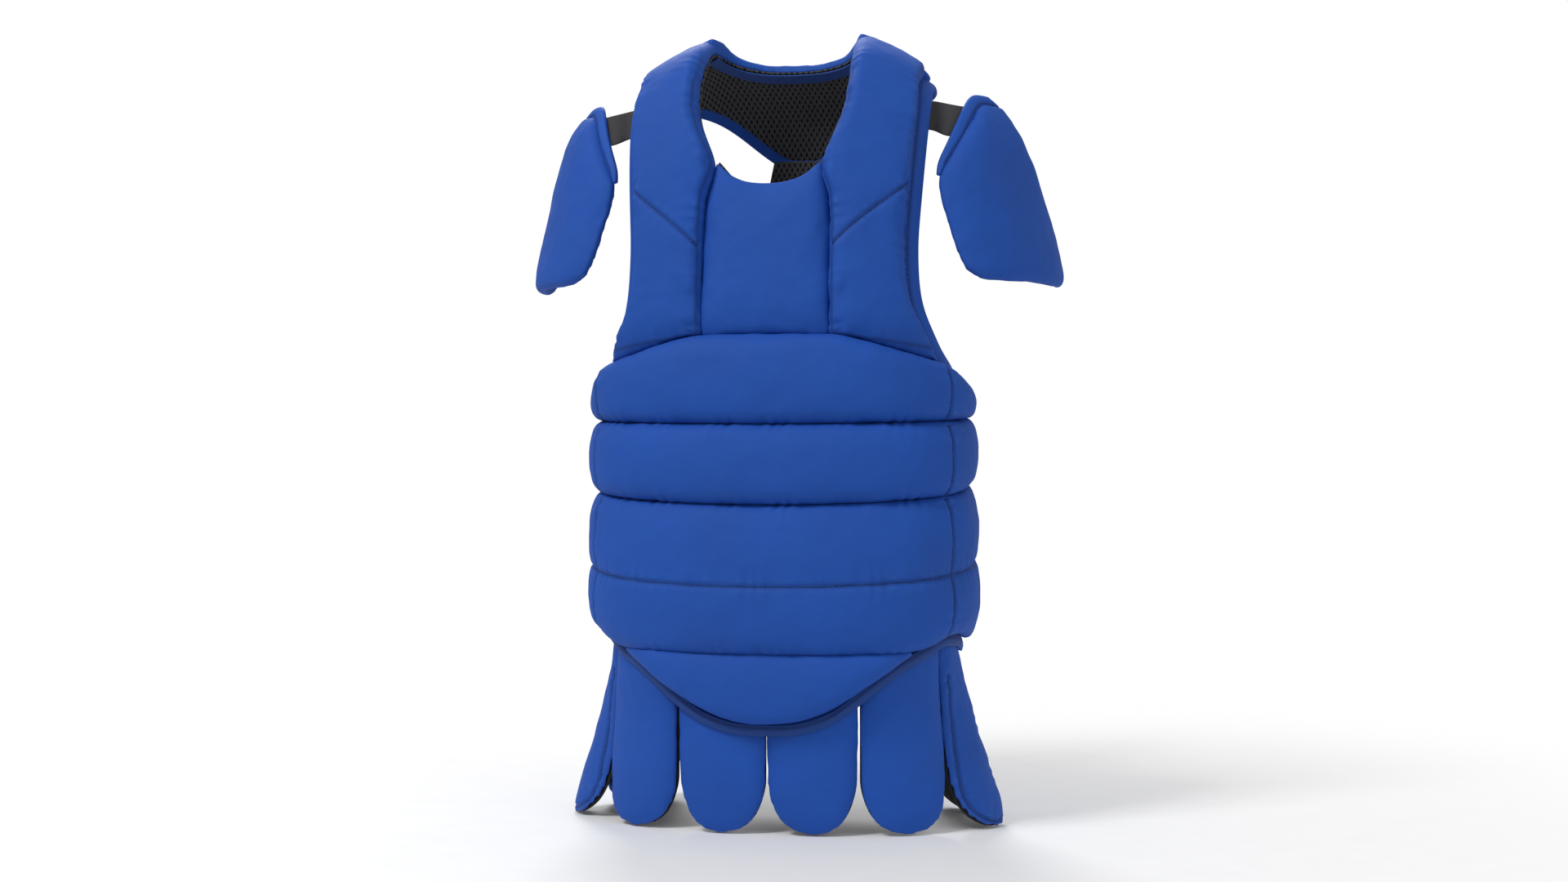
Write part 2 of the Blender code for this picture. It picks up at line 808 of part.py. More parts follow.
def make_binding(name, edge, way, material, sign=1, width=BINDING_WIDTH):
    """A rounded edging between a line and its own inset."""
    inner = inset(edge, way * width)
    grid = ruled([edge, inner], PLAIN)
    if sign < 0:
        grid = [mirrored(row) for row in grid]

    def thickness(row, column, place):
        return BINDING_THICKNESS * bulge(row, HEM_EDGE, 2.0)

    make_panel(name, grid, 0.0, thickness, material)


def make_bindings():
    for side_name, sign in SIDES:
        armhole = armpit_line()[:-1] + armhole_line()
        armhole[0] = (armhole[0][0] - 0.3, armhole[0][1])
        armhole[-1] = (armhole[-1][0], armhole[-1][1] - SEAM_GAP / 2)
        name = f"armhole_binding_{side_name}"
        make_binding(name, armhole, 1, blue_cloth(), sign, ARMHOLE_BINDING_WIDTH)
        make_binding(f"wing_binding_{side_name}", wing_line(), -1, blue_cloth(), sign)
    hem = list(hem_line())
    hem[0] = (hem[0][0] - 0.3, hem[0][1])
    hem[-1] = (hem[-1][0] + 0.3, hem[-1][1])
    make_binding("hem_binding", hem, -1, dark_binding())
    make_binding("yoke_binding", yoke_edge(), -1, blue_cloth())


def make_neck_band():
    """The strip inside the back of the neckline."""
    turns = [math.sin(math.pi / 2 * share) ** (2 / NECK_POWER) for share in even(9)]
    sides = [turn * SHOULDER_SHARES[0] for turn in turns]
    half = [(bearing_of(side), neck_back(side)) for side in sides]
    half[-1] = on_ridge(SHOULDER_SHARES[0], SEAM_GAP)
    edge = mirrored(half[:0:-1]) + half
    grid = ruled([edge, inset(edge, NECK_BAND_WIDTH)], PLAIN)
    make_panel("neck_band", grid, -NECK_BAND - NECK_BAND_FIT, NECK_BAND, dark_binding())


def spine_place(drop, across):
    """The place at a drop and a distance from the back's middle."""
    return at_back(bearing_of(across / section(drop)[0]), drop)


def spine_face():
    """How far inside the wings' hollow the spine pad's outer face lies: the elastic fits between."""
    return ELASTIC + 2 * GAP


def make_spine():
    columns = (0.0, 0.08, 0.27, 0.5, 0.73, 0.92, 1.0)
    grid = []
    for drop, width in SPINE_ROWS:
        span = width * SPINE_WIDTH
        grid.append([spine_place(drop * ARMOUR_DROP, (share - 0.5) * span) for share in columns])
    base = -spine_face() - SPINE_PAD
    thickness = padding(SPINE_PAD, PAD_EDGE, even(len(grid)), columns)
    make_panel("spine_pad", grid, base, thickness, blue_cloth())
    make_panel("spine_lining", grid, base - LINING_FIT - LINING, LINING, black_mesh())
    foot = SPINE_ROWS[-1][0] * ARMOUR_DROP + SEAM_GAP / 2
    rows = []
    for number, width in enumerate(SPINE_HEM_SHARES):
        drop = foot + SPINE_HEM * number / (len(SPINE_HEM_SHARES) - 1)
        span = width * SPINE_WIDTH
        rows.append([spine_place(drop, (share - 0.5) * span) for share in columns])
    hem = padding(SPINE_HEM_THICKNESS, HEM_EDGE, even(len(rows)), columns)
    make_panel("spine_hem", rows, base, hem, dark_binding())


def strip(top, length, across):
    """A grid on the back between two drops."""
    return [[spine_place(top + length * share, x) for x in across] for share in even(5)]


def make_spine_strap():
    across = [STRAP_WIDTH * (share - 0.5) for share in even(5)]
    top = YOKE_ROWS[-1][1] * ARMOUR_DROP - STRAP_TUCK
    strap = strip(top, STRAP_LENGTH, across)
    make_panel("spine_strap", strap, -ELASTIC - GAP, ELASTIC, elastic_webbing())
    tab = strip(top + STRAP_LENGTH + SEAM_GAP / 2, STRAP_TAB_LENGTH, across)
    make_panel("spine_strap_tab", tab, -ELASTIC - GAP, TAB, hook_tape())


def belt_height(row, column, place):
    """The belt's inner face: on the spine pad, then up onto the binding and ribs of the -X wing."""
    side = -side_and_depth(place[0])[0]
    on_pad = -ELASTIC - GAP
    rib = LINING + LINING_FIT + rib_height((180.0 - abs(place[0]), 0.0)) + GAP
    heights = (on_pad, on_pad, BINDING_THICKNESS + GAP, rib, rib)
    return float(np.interp(side, (-1.0, 0.12, 0.54, 0.63, 1.0), heights))


def make_belt():
    top = BELT_TOP * ARMOUR_DROP

    def rows(sides):
        lines = []
        for share in (0.0, 0.5, 1.0):
            line = []
            for side in sides:
                taper = float(np.interp(side, BELT_TAPER_SIDES, (0.0, BELT_TAPER)))
                drop = top + share * (BELT_WIDTH - taper) - BELT_TAPER_RISE * taper
                line.append(at_back(-bearing_of(side), drop))
            lines.append(line)
        return lines

    make_panel("waist_belt", rows(BELT_SIDES), belt_height, ELASTIC, elastic_webbing())
    make_panel("waist_belt_tab", rows(BELT_TAB_SIDES), belt_height, TAB, hook_tape())


def flare(place):
    """How far a flap has swung out at a place."""
    drop = shoulder_fall(side_and_depth(place[0])[0]) + FRONT_ARCH - place[1]
    hem = HEM_ROWS[0][1] * ARMOUR_DROP + FLAP_TUCK
    fall = min(max((drop - hem) / (FLAP_END - hem), 0.0), 1.0)
    share = np.interp(abs(place[0]), [row[0] for row in FLARE_ROWS], [row[1] for row in FLARE_ROWS])
    return FLAP_FLARE * float(share) * fall**FLARE_POWER


def flap_top(bearing):
    """Where a flap is sewn in, a tuck above the lower edge."""
    if bearing <= 90:
        edge = path_on(hem_line()[::-1], bearing)
    else:
        edge = path_on(wing_line()[2 * WING_TOP_ROWS + 3 :][::-1], bearing)
    return edge + FLAP_TUCK


def make_flap(name, first, last, sign):
    columns = (0.0, 0.1, 0.33, 0.67, 0.9, 1.0)
    rows = (0.0, 0.12, 0.45, 0.92, 1.0)
    top = []
    foot = []
    for share in columns:
        bearing = first + share * (last - first)
        rise = FLAP_ROUND * (1 - bulge(share, 0.0, 2.2))
        top.append((bearing, flap_top(bearing)))
        foot.append(at_front(bearing, FLAP_END - rise))
    grid = ruled([foot, top], rows)
    if sign < 0:
        grid = [mirrored(row) for row in grid]

    def base(row, column, place):
        return flare(place) - FLAP_PAD - FLAP_FIT

    def under(row, column, place):
        return base(row, column, place) - LINING_FIT - LINING

    thickness = padding(FLAP_PAD, RIB_EDGE, rows, columns, sewn_in)
    make_panel(name, grid, base, thickness, blue_cloth())
    make_panel(f"{name}_lining", grid, under, LINING, flap_lining_cloth())


def make_flaps():
    for side_name, sign in SIDES:
        for number, (name, first, last) in enumerate(FLAPS):
            if name == "front_flap":
                place = 3 + number if sign > 0 else 2 - number
                make_flap(f"{name}_{place}", first, last, sign)
            else:
                make_flap(f"{name}_{side_name}", first, last, sign)


def cap_place(sign):
    """A function for points on a shoulder cap, from a distance rearwards and one down from its top."""
    turn = math.radians(CAP_BEARING)
    axis = np.array((CAP_OUT - CAP_RADIUS * math.sin(turn), CAP_RADIUS * math.cos(turn)))

    def on_cap(spot, height):
        rearward, down = spot
        angle = turn + rearward / CAP_RADIUS
        dome = max(1 - down / (CAP_DOME_REACH * CAP_HEIGHT), 0.0) ** 2
        radius = CAP_RADIUS + CAP_LEAN * (down - CAP_HEIGHT / 2) - CAP_DOME * dome + height
        x, y = axis + radius * np.array((math.sin(angle), -math.cos(angle)))
        return np.array((sign * x, y - CAP_FORWARD, -CAP_DROP - down))

    return on_cap


def cap_edge(column):
    """The share of the width at which the cap's front or rear edge lies, by the share of its height."""
    return smooth_curve([row[0] for row in CAP_ROWS], [row[column] for row in CAP_ROWS])


def cap_pad_rows():
    """The pad's front and rear edges, a row for each drop, its front inside the edging."""
    drops = [row[3] for row in CAP_BINDING_ROWS[3:]]
    edging = [row[2] * CAP_WIDTH for row in CAP_BINDING_ROWS[3:]]
    front, rear = [], []
    for drop in CAP_PAD_DROPS:
        across = cap_edge(1)(drop) * CAP_WIDTH
        if drop < CAP_BINDING_ROWS[-1][1]:
            across = float(np.interp(drop, drops, edging)) + CAP_SEAM_GAP
        front.append((across, drop * CAP_HEIGHT))
        rear.append((cap_edge(2)(drop) * CAP_WIDTH, drop * CAP_HEIGHT))
    return front, rear


def make_caps():
    front, rear = cap_pad_rows()
    columns = (0.0, 0.09, 0.3, 0.5, 0.7, 0.91, 1.0)
    rows = even(len(front))
    for side_name, sign in SIDES:
        place = cap_place(sign)
        grid = turned(ruled([front, rear], columns))
        thickness = padding(CAP_PAD, PAD_EDGE, rows, columns)
        make_panel(f"shoulder_cap_{side_name}", grid, 0.0, thickness, blue_cloth(), place)
        outer = [(row[0] * CAP_WIDTH, row[1] * CAP_HEIGHT) for row in CAP_BINDING_ROWS]
        inner = [(row[2] * CAP_WIDTH, row[3] * CAP_HEIGHT) for row in CAP_BINDING_ROWS]
        grid = ruled([outer, inner], PLAIN)

        def rounded(row, column, spot):
            return BINDING_THICKNESS * bulge(row, HEM_EDGE, 2.0)

        make_panel(f"cap_binding_{side_name}", grid, 0.0, rounded, blue_cloth(), place)


def on_sheet(spot, height):
    point, normal = spot
    return point + normal * height


def make_cap_straps():
    """Elastic from inside the armhole's binding to the inside of the cap's front edge."""
    for side_name, sign in SIDES:
        on_cap = cap_place(sign)
        lines = []
        for number in (0, 1):
            drop = CAP_DROP + CAP_STRAP_START + number * CAP_STRAP_WIDTH
            places = [at_front(sign * bearing_of(side), drop) for side in CAP_STRAP_SIDES]
            start = [on_body(place, -ELASTIC - 2 * GAP) for place in places]
            down = CAP_STRAP_END * CAP_HEIGHT + number * CAP_STRAP_WIDTH
            edge = cap_edge(1)(down / CAP_HEIGHT) * CAP_WIDTH
            end = [on_cap((edge + tuck, down), -ELASTIC - GAP) for tuck in CAP_STRAP_TUCKS]
            span = float(np.linalg.norm(end[0] - start[-1]))
            leave = (start[-1] - start[0]) / np.linalg.norm(start[-1] - start[0]) * span
            arrive = (end[-1] - end[0]) / np.linalg.norm(end[-1] - end[0]) * span
            middle = []
            for t in (0.25, 0.5, 0.75):
                point = (1 + 2 * t) * (1 - t) ** 2 * start[-1] + t * t * (3 - 2 * t) * end[0]
                middle.append(point + t * (1 - t) ** 2 * leave - t * t * (1 - t) * arrive)
            lines.append(start + middle + end)
        grid = [[], []]
        for number, (low, high) in enumerate(zip(*lines)):
            before = max(number - 1, 0)
            after = min(number + 1, len(lines[0]) - 1)
            along = lines[0][after] - lines[0][before]
            normal = sign * np.cross(along, high - low)
            normal = -normal / np.linalg.norm(normal)
            grid[0].append((low, normal))
            grid[1].append((high, normal))
        make_panel(f"cap_strap_{side_name}", grid, 0.0, ELASTIC, elastic_webbing(), on_sheet)


def build():
    clear_scene()
    collection = bpy.data.collections.new("padded_torso_armour")
    bpy.context.scene.collection.children.link(collection)
    for side_name, sign in SIDES:
        make_chest(side_name, sign)
    make_sternum()
    make_yoke()
    make_ribs()
    make_belly()
    make_bindings()
    make_neck_band()
    make_spine()
    make_spine_strap()
    make_belt()
    make_flaps()
    make_caps()
    make_cap_straps()


build()
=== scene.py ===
"""Looks of the padded torso armour: cloth pads filled by simulation, sewn edgings with their stitches,
mesh linings, elastic webbing, and the stage. Units are metres, +Z is up and the armour faces -Y."""

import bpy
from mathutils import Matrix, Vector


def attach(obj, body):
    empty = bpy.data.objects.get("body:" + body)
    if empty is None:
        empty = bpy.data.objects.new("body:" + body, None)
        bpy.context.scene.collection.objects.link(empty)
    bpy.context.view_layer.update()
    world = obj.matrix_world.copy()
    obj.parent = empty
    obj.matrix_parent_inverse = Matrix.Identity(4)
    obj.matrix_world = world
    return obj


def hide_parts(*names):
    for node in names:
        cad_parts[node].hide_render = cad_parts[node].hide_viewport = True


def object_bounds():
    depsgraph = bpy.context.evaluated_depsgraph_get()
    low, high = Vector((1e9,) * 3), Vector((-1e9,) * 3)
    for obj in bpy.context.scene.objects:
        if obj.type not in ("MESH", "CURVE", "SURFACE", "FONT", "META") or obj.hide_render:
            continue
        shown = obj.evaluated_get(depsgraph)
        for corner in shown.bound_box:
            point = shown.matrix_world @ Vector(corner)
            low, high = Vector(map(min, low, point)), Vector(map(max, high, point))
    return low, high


bl_info = {
    "name": "Padded Torso Armour",
    "version": (1, 0, 0),
    "blender": (4, 5, 0),
    "location": "View3D > Sidebar > Armour",
    "description": "Dresses the padded torso armour in cloth, mesh and webbing",
    "category": "Object",
}

import math
from functools import cache

import bpy
import numpy as np
from bpy.props import FloatProperty, FloatVectorProperty, PointerProperty
from mathutils import Vector, noise
from mathutils.bvhtree import BVHTree
from mathutils.kdtree import KDTree

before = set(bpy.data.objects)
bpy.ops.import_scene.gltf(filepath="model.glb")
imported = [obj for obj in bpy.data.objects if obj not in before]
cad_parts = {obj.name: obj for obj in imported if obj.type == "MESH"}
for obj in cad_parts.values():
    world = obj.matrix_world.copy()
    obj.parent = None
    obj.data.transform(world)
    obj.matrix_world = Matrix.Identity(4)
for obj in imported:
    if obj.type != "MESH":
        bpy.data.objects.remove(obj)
CAD_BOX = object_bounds()

# Body hollow that the panels are laid on
ARMOUR_DROP = 0.700
HALF_WIDTH = 0.158
FRONT_DEPTH = 0.103
BACK_DEPTH = 0.099
ROUNDNESS = 2.8
SHOULDER_FALL = 0.038
FRONT_ARCH = 0.120
BACK_ARCH = 0.105
ARCH_PATH = 0.300
SHOULDER_SHARES = (0.410, 0.861)
SHOULDER_CURVE = 1.15
ARMPIT_BLEND = 0.6
BINDING_WIDTH = 0.009
ARMHOLE_BINDING_WIDTH = 0.0125
SEAM_GAP = 0.0012

# Sections of the body hollow: drop, half width, front depth, back depth, each a share of its own size
SECTIONS = (
    (0.000, 1.01, 0.76, 0.93),
    (0.186, 1.00, 0.77, 0.95),
    (0.286, 0.99, 0.86, 0.97),
    (0.379, 0.97, 0.94, 0.98),
    (0.486, 0.98, 0.985, 0.99),
    (0.600, 0.99, 1.00, 0.97),
    (0.714, 1.00, 1.01, 0.98),
    (0.783, 1.00, 1.00, 1.00),
    (0.880, 1.00, 0.98, 1.02),
    (1.000, 1.00, 0.99, 1.04),
)

# Chest pad, bottom to shoulder: drop and half width of its inner edge, then of the armhole beside it
CHEST_ROWS = (
    (0.378, 0.374, 0.399, 0.958),
    (0.335, 0.367, 0.357, 0.885),
    (0.290, 0.361, 0.321, 0.842),
    (0.240, 0.357, 0.279, 0.825),
    (0.200, 0.342, 0.243, 0.825),
    (0.160, 0.302, 0.186, 0.838),
    (0.112, 0.392, 0.129, 0.850),
    (0.060, 0.420, 0.086, 0.858),
)

# Lower edge of the yoke, shoulder to middle: half width, drop
YOKE_ROWS = (
    (0.861, 0.0600),
    (0.800, 0.0640),
    (0.709, 0.0645),
    (0.600, 0.0670),
    (0.494, 0.0743),
    (0.390, 0.0900),
    (0.285, 0.1100),
    (0.177, 0.1286),
    (0.089, 0.1386),
    (0.000, 0.1414),
)

# Edge of a wing from the armpit, round its end, to the side of the hem: bearing, drop
WING_ROWS = (
    (90.0, 0.430),
    (104.0, 0.450),
    (116.0, 0.472),
    (127.0, 0.489),
    (138.0, 0.503),
    (143.5, 0.517),
    (147.3, 0.534),
    (148.7, 0.564),
    (148.7, 0.614),
    (148.7, 0.671),
    (148.0, 0.703),
    (145.2, 0.724),
    (140.0, 0.743),
    (131.0, 0.760),
    (120.0, 0.776),
    (108.0, 0.785),
    (97.0, 0.784),
    (90.0, 0.779),
)

# Hem of the front from the side to the middle: bearing, drop
HEM_ROWS = (
    (90.0, 0.779),
    (78.0, 0.773),
    (64.0, 0.770),
    (56.0, 0.778),
    (46.0, 0.793),
    (38.0, 0.812),
    (31.0, 0.834),
    (23.5, 0.857),
    (16.0, 0.872),
    (8.0, 0.879),
    (0.0, 0.880),
)

# Seam levels as shares of the armour's drop: at the front's middle, at the side and at the wing's end
LEVELS = {
    "upper_groove": (0.491, 0.481, 0.484),
    "middle_groove": (0.591, 0.567, 0.571),
    "lower_stitch": (0.692, 0.662, 0.663),
    "rib_foot": (0.776, 0.769, 0.769),
}

# How far round a wing its seam levels have settled, as a share of a quarter turn
LEVEL_SETTLES = 0.65

# Sewn lines on the pads: the chest's diagonal by its ends' sides and drops, the ribs' upright ones by
# bearing and drops, the wings' last bearing, and the spine pad's cross lines by drop and half length
CHEST_SEAM = ((0.75, 0.133), (0.36, 0.190))
RIB_SEAM_BEARING = 58.0
RIB_SEAM_DROPS = (0.29, 0.56)
WING_END = 142
SPINE_SEAMS = ((0.213, 0.050), (0.277, 0.062))
SPINE_MIDDLE_DROPS = (0.287, 0.376)
SPINE_SOFTENS = 2.2

# Hip flaps of the +X half: name for +X, name for -X, first and last bearing
FLAPS = (
    ("front_flap_3", "front_flap_2", 0.5, 28.8),
    ("front_flap_4", "front_flap_1", 29.8, 64.0),
    ("side_flap_right", "side_flap_left", 65.5, 98.0),
    ("rear_flap_right", "rear_flap_left", 99.5, 137.0),
)
FLAP_END = ARMOUR_DROP + 0.005
FLAP_ROUND = 0.042
FLAP_TOP = 0.81
FLAP_SEAM_INSET = 0.006

# Shoulder caps
CAP_RADIUS = 0.120
CAP_BEARING = 57.0
CAP_AXIS = (0.1044, 0.0554)
CAP_DROP = 0.046
CAP_HEIGHT = 0.168
CAP_WIDTH = 0.170
CAP_LEAN = 0.22
CAP_DOME = 0.008
CAP_DOME_REACH = 0.35

# Rays that find a place on a piece: how far outside the body hollow or a cap they start, how far inside
# it those for the linings start, and how far they look
RAY_START = 0.10
CAP_RAY_START = 0.05
LINING_RAY_START = 0.04
RAY_REACH = 0.3

# How far pads' rims are let out to meet their neighbours, past what remeshing takes off them
RIM_REACH = 0.0012
HEM_REACH = 0.0020
WING_REACH = 0.0012
CHEST_FOOT_REACH = 0.0008
STERNUM_REACH = 0.0012
SHOULDER_REACH = 0.0026
CAP_REACH = 0.0016
FLAP_REACH = -0.0004
EDGING_REACH = 0.0008
CAP_EDGING_REACH = 0.0014

# How far linings' rims are let out, and how far in they go where they lap behind the next one
LINING_REACH = 0.0003
WAIST_REACH = 0.0012
WAIST_LAP = (0.0036, 0.0014)
WAIST_FOOT_REACH = 0.0030
STERNUM_LAP = (0.0034, 0.0013)
YOKE_LINING_REACH = 0.0010

# Heights at which pads meet, and bearings between which the front gives way to the wings
CHEST_FOOT = -0.25
NECKLINE_FOOT = -0.11
FRONT_ENDS = 92

# Pads are filled over this many frames. Their sewn backs move this far, and cloth aside this far
FILL_FRAMES = 20
SEWN_LIMIT = 0.0003
ASIDE_LIMIT = 0.0008

# Gathers beside a seam: their spacing and how they vary along it, their fading, and how far they go
GATHER_SPACING = 0.0165
GATHER_UNEVEN = (2.6, 0.053)
GATHER_SWELL = 0.117
GATHER_FADES = 0.0090
GATHER_ENDS = 0.02

# Seams' depth, width and gathers on edgings, and how far their stitches lie inside the inner edge
EDGING_SEAM = (0.0005, 0.0012, 0.0)
STITCH_INSET = 0.0024

# Inner line of a cap's edging, from the back of the cap's top, over it and down the front edge:
# share of the width rearwards, share of the height down
CAP_EDGING_ROWS = (
    (0.084, 0.066),
    (0.022, 0.054),
    (-0.045, 0.050),
    (-0.105, 0.063),
    (-0.170, 0.112),
    (-0.222, 0.172),
    (-0.272, 0.235),
    (-0.338, 0.318),
    (-0.402, 0.406),
    (-0.434, 0.460),
)

# Finishes that a user seldom changes
NAVY = (0.008, 0.045, 0.215)
THREAD_NAVY = (0.006, 0.030, 0.140)
MESH_GREY = (0.062, 0.062, 0.064)
# Near-black of the mesh holes: painted shade for the depth inside them
HOLE_SHADE_BLACK = (0.002, 0.002, 0.002)
HOOK_BLACK = (0.010, 0.010, 0.011)
FLAP_BLACK = (0.009, 0.009, 0.010)

TORSO_PADS = ("chest_pad_left", "chest_pad_right", "sternum_pad", "yoke_pad", "belly_pad")
RIBS = ("rib_upper", "rib_middle", "rib_lower")
CAPS = ("shoulder_cap_left", "shoulder_cap_right")
FLAP_NAMES = tuple(name for flap in FLAPS for name in flap[:2])
LININGS = (
    "chest_lining_left",
    "chest_lining_right",
    "sternum_lining",
    "yoke_lining",
    "waist_lining",
    "spine_lining",
)


def smooth_curve(places, values):
    """A function for the smooth curve that passes through the values at their places."""
    places = np.asarray(places, float)
    values = np.asarray(values, float)
    slopes = np.gradient(values, places)

    def value_at(at):
        first = min(max(int(np.searchsorted(places, at)) - 1, 0), len(places) - 2)
        span = places[first + 1] - places[first]
        t = (at - places[first]) / span
        start = (1 + 2 * t) * (1 - t) ** 2 * values[first]
        start += t * (1 - t) ** 2 * span * slopes[first]
        end = t * t * (3 - 2 * t) * values[first + 1]
        end += t * t * (t - 1) * span * slopes[first + 1]
        return float(start + end)

    return value_at


def finer(line, parts):
    """A line of places with `parts` steps for each one that it had, on a smooth curve."""
    curves = [smooth_curve(range(len(line)), column) for column in zip(*line)]
    steps = np.linspace(0, len(line) - 1, parts * (len(line) - 1) + 1)
    return [tuple(curve(step) for curve in curves) for step in steps]


@cache
def section_curves():
    drops = [row[0] for row in SECTIONS]
    return [smooth_curve(drops, [row[column] for row in SECTIONS]) for column in (1, 2, 3)]


def section(drop):
    """Half width, front depth and back depth of the body hollow at a drop below the shoulders."""
    share = min(max(drop / ARMOUR_DROP, 0.0), 1.0)
    sizes = (HALF_WIDTH, FRONT_DEPTH, BACK_DEPTH)
    return [size * curve(share) for size, curve in zip(sizes, section_curves())]


def side_and_depth(bearing):
    """Where a bearing meets the horizontal section, as shares of its half width and its depth."""
    turn = math.radians(bearing)
    s, c = math.sin(turn), math.cos(turn)
    reach = (abs(s) ** ROUNDNESS + abs(c) ** ROUNDNESS) ** (-1 / ROUNDNESS)
    return reach * s, reach * c


def bearing_of(side):
    """The front bearing that lies at a share of the half width."""
    depth = max(1 - abs(side) ** ROUNDNESS, 0.0) ** (1 / ROUNDNESS)
    return math.degrees(math.atan2(side, depth))


def shoulder_fall(side):
    """How far the shoulder line has fallen at a share of the half width."""
    past_neck = max(abs(side) - SHOULDER_SHARES[0], 0.0)
    return SHOULDER_FALL * (past_neck / (SHOULDER_SHARES[1] - SHOULDER_SHARES[0])) ** SHOULDER_CURVE


def at_front(bearing, drop):
    """The place at a bearing and a drop, on the side of the path that climbs the chest."""
    sink = drop - shoulder_fall(side_and_depth(bearing)[0])
    if sink >= FRONT_ARCH:
        return bearing, FRONT_ARCH - sink
    return bearing, ARCH_PATH * math.asin(1 - max(sink, 0.0) / FRONT_ARCH) / math.pi


def at_back(bearing, drop):
    """The place at a bearing and a drop, on the side of the path that goes down the back."""
    sink = drop - shoulder_fall(side_and_depth(bearing)[0])
    if sink >= BACK_ARCH:
        return bearing, ARCH_PATH + sink - BACK_ARCH
    return bearing, ARCH_PATH * (1 - math.asin(1 - max(sink, 0.0) / BACK_ARCH) / math.pi)


def on_ridge(side, behind=0.0):
    """The place on top of the shoulder at a share of the half width."""
    return bearing_of(side), ARCH_PATH / 2 + behind


def skin(place):
    """The point of the body hollow at a place: a bearing, and a distance along the climbing path."""
    bearing, path = place
    side, depth = side_and_depth(bearing)
    if path < 0:
        sink, ahead = FRONT_ARCH - path, 1.0
    elif path > ARCH_PATH:
        sink, ahead = BACK_ARCH + path - ARCH_PATH, -1.0
    else:
        rise = math.pi * path / ARCH_PATH
        arch = FRONT_ARCH if path < ARCH_PATH / 2 else BACK_ARCH
        sink, ahead = arch * (1 - math.sin(rise)), math.cos(rise)
    drop = shoulder_fall(side) + sink
    width, front, back = section(drop)
    forward = depth * ahead
    return np.array((width * side, -forward * (front if forward > 0 else back), -drop))


def slopes_at(place):
    """How the skin's point moves for a degree of bearing and for a metre of path."""
    bearing, path = place
    step = 0.001
    around = (skin((bearing + 0.5, path)) - skin((bearing - 0.5, path))) / 1.0
    along = (skin((bearing, path + step)) - skin((bearing, path - step))) / (2 * step)
    return around, along


def outward(place):
    around, along = slopes_at(place)
    normal = np.cross(around, along)
    return normal / np.linalg.norm(normal)


def mirrored(line):
    return [(-bearing, path) for bearing, path in line]


def inset(line, distance):
    """The line moved to its own left by a distance, seen from outside, with its corners mitred."""
    points = [skin(place) for place in line]
    moved = []
    for number, place in enumerate(line):
        normal = outward(place)
        ways = []
        if number > 0:
            ways.append(np.cross(normal, points[number] - points[number - 1]))
        if number < len(line) - 1:
            ways.append(np.cross(normal, points[number + 1] - points[number]))
        ways = [way / np.linalg.norm(way) for way in ways]
        way = sum(ways) / np.linalg.norm(sum(ways))
        shift = way * distance / max(float(way @ ways[0]), 0.5)
        change = np.linalg.lstsq(np.column_stack(slopes_at(place)), shift, rcond=None)[0]
        moved.append((place[0] + change[0], place[1] + change[1]))
    return moved


def armhole_line():
    """The armhole's edge on the +X side, from the side up to the top of the shoulder."""
    foot = CHEST_ROWS[0]
    line = [at_front(bearing_of(row[3]), row[2] * ARMOUR_DROP) for row in CHEST_ROWS]
    armpit = [
        at_front(90.0, WING_ROWS[0][1] * ARMOUR_DROP),
        at_front(80.0, (WING_ROWS[0][1] * ARMPIT_BLEND + foot[2] * (1 - ARMPIT_BLEND)) * ARMOUR_DROP),
    ]
    return armpit + finer(line + [on_ridge(SHOULDER_SHARES[1])], 2)


def chest_inner_line():
    """The chest pad's inner edge: up the sternum seam, then along the neckline to the shoulder."""
    line = [at_front(bearing_of(row[1]), row[0] * ARMOUR_DROP) for row in CHEST_ROWS]
    return finer(line + [on_ridge(SHOULDER_SHARES[0])], 2)


def wing_line():
    return finer([at_front(bearing, drop * ARMOUR_DROP) for bearing, drop in WING_ROWS], 2)


def hem_line():
    """The hem from one side, by the front, to the other, with falling bearings."""
    half = finer([at_front(bearing, drop * ARMOUR_DROP) for bearing, drop in HEM_ROWS], 2)
    return half + mirrored(half[:-1])[::-1]


def yoke_edge():
    """The yoke's lower edge from the -X shoulder to the +X one."""
    half = [at_back(bearing_of(side), drop * ARMOUR_DROP) for side, drop in YOKE_ROWS]
    half = [on_ridge(SHOULDER_SHARES[1], SEAM_GAP)] + half
    return mirrored(half[:-1]) + half[::-1]


def level(name, bearing):
    """The path of a seam level at a bearing."""
    middle, side, end = (share * ARMOUR_DROP for share in LEVELS[name])
    turn = abs(bearing) / 90.0
    if turn <= 1:
        drop = middle + (side - middle) * turn**2
    else:
        drop = side + (end - side) * min((turn - 1) / LEVEL_SETTLES, 1.0)
    return at_front(bearing, drop)[1]


def cap_ray(sign, spot):
    """A ray onto a shoulder cap, at a distance rearwards and one down from its top."""
    rearward, down = spot
    angle = math.radians(CAP_BEARING) + rearward / CAP_RADIUS
    dome = max(1 - down / (CAP_DOME_REACH * CAP_HEIGHT), 0.0) ** 2
    radius = CAP_RADIUS + CAP_LEAN * (down - CAP_HEIGHT / 2) - CAP_DOME * dome
    way = np.array((sign * math.sin(angle), -math.cos(angle), 0.0))
    axis = np.array((sign * CAP_AXIS[0], CAP_AXIS[1], -CAP_DROP - down))
    return axis + way * (radius + CAP_RAY_START), -way


def body_ray(place):
    """A ray onto the armour from outside, at a place of the body hollow."""
    away = outward(place)
    return skin(place) + away * RAY_START, -away


@cache
def girth():
    """Bearings all round the body and how far along its section each one lies."""
    bearings = np.linspace(-180, 180, 361)
    points = [skin((bearing, -0.15)) for bearing in bearings]
    steps = [np.linalg.norm(b - a) for a, b in zip(points, points[1:])]
    lengths = np.concatenate(([0.0], np.cumsum(steps)))
    return bearings, lengths - lengths[180]


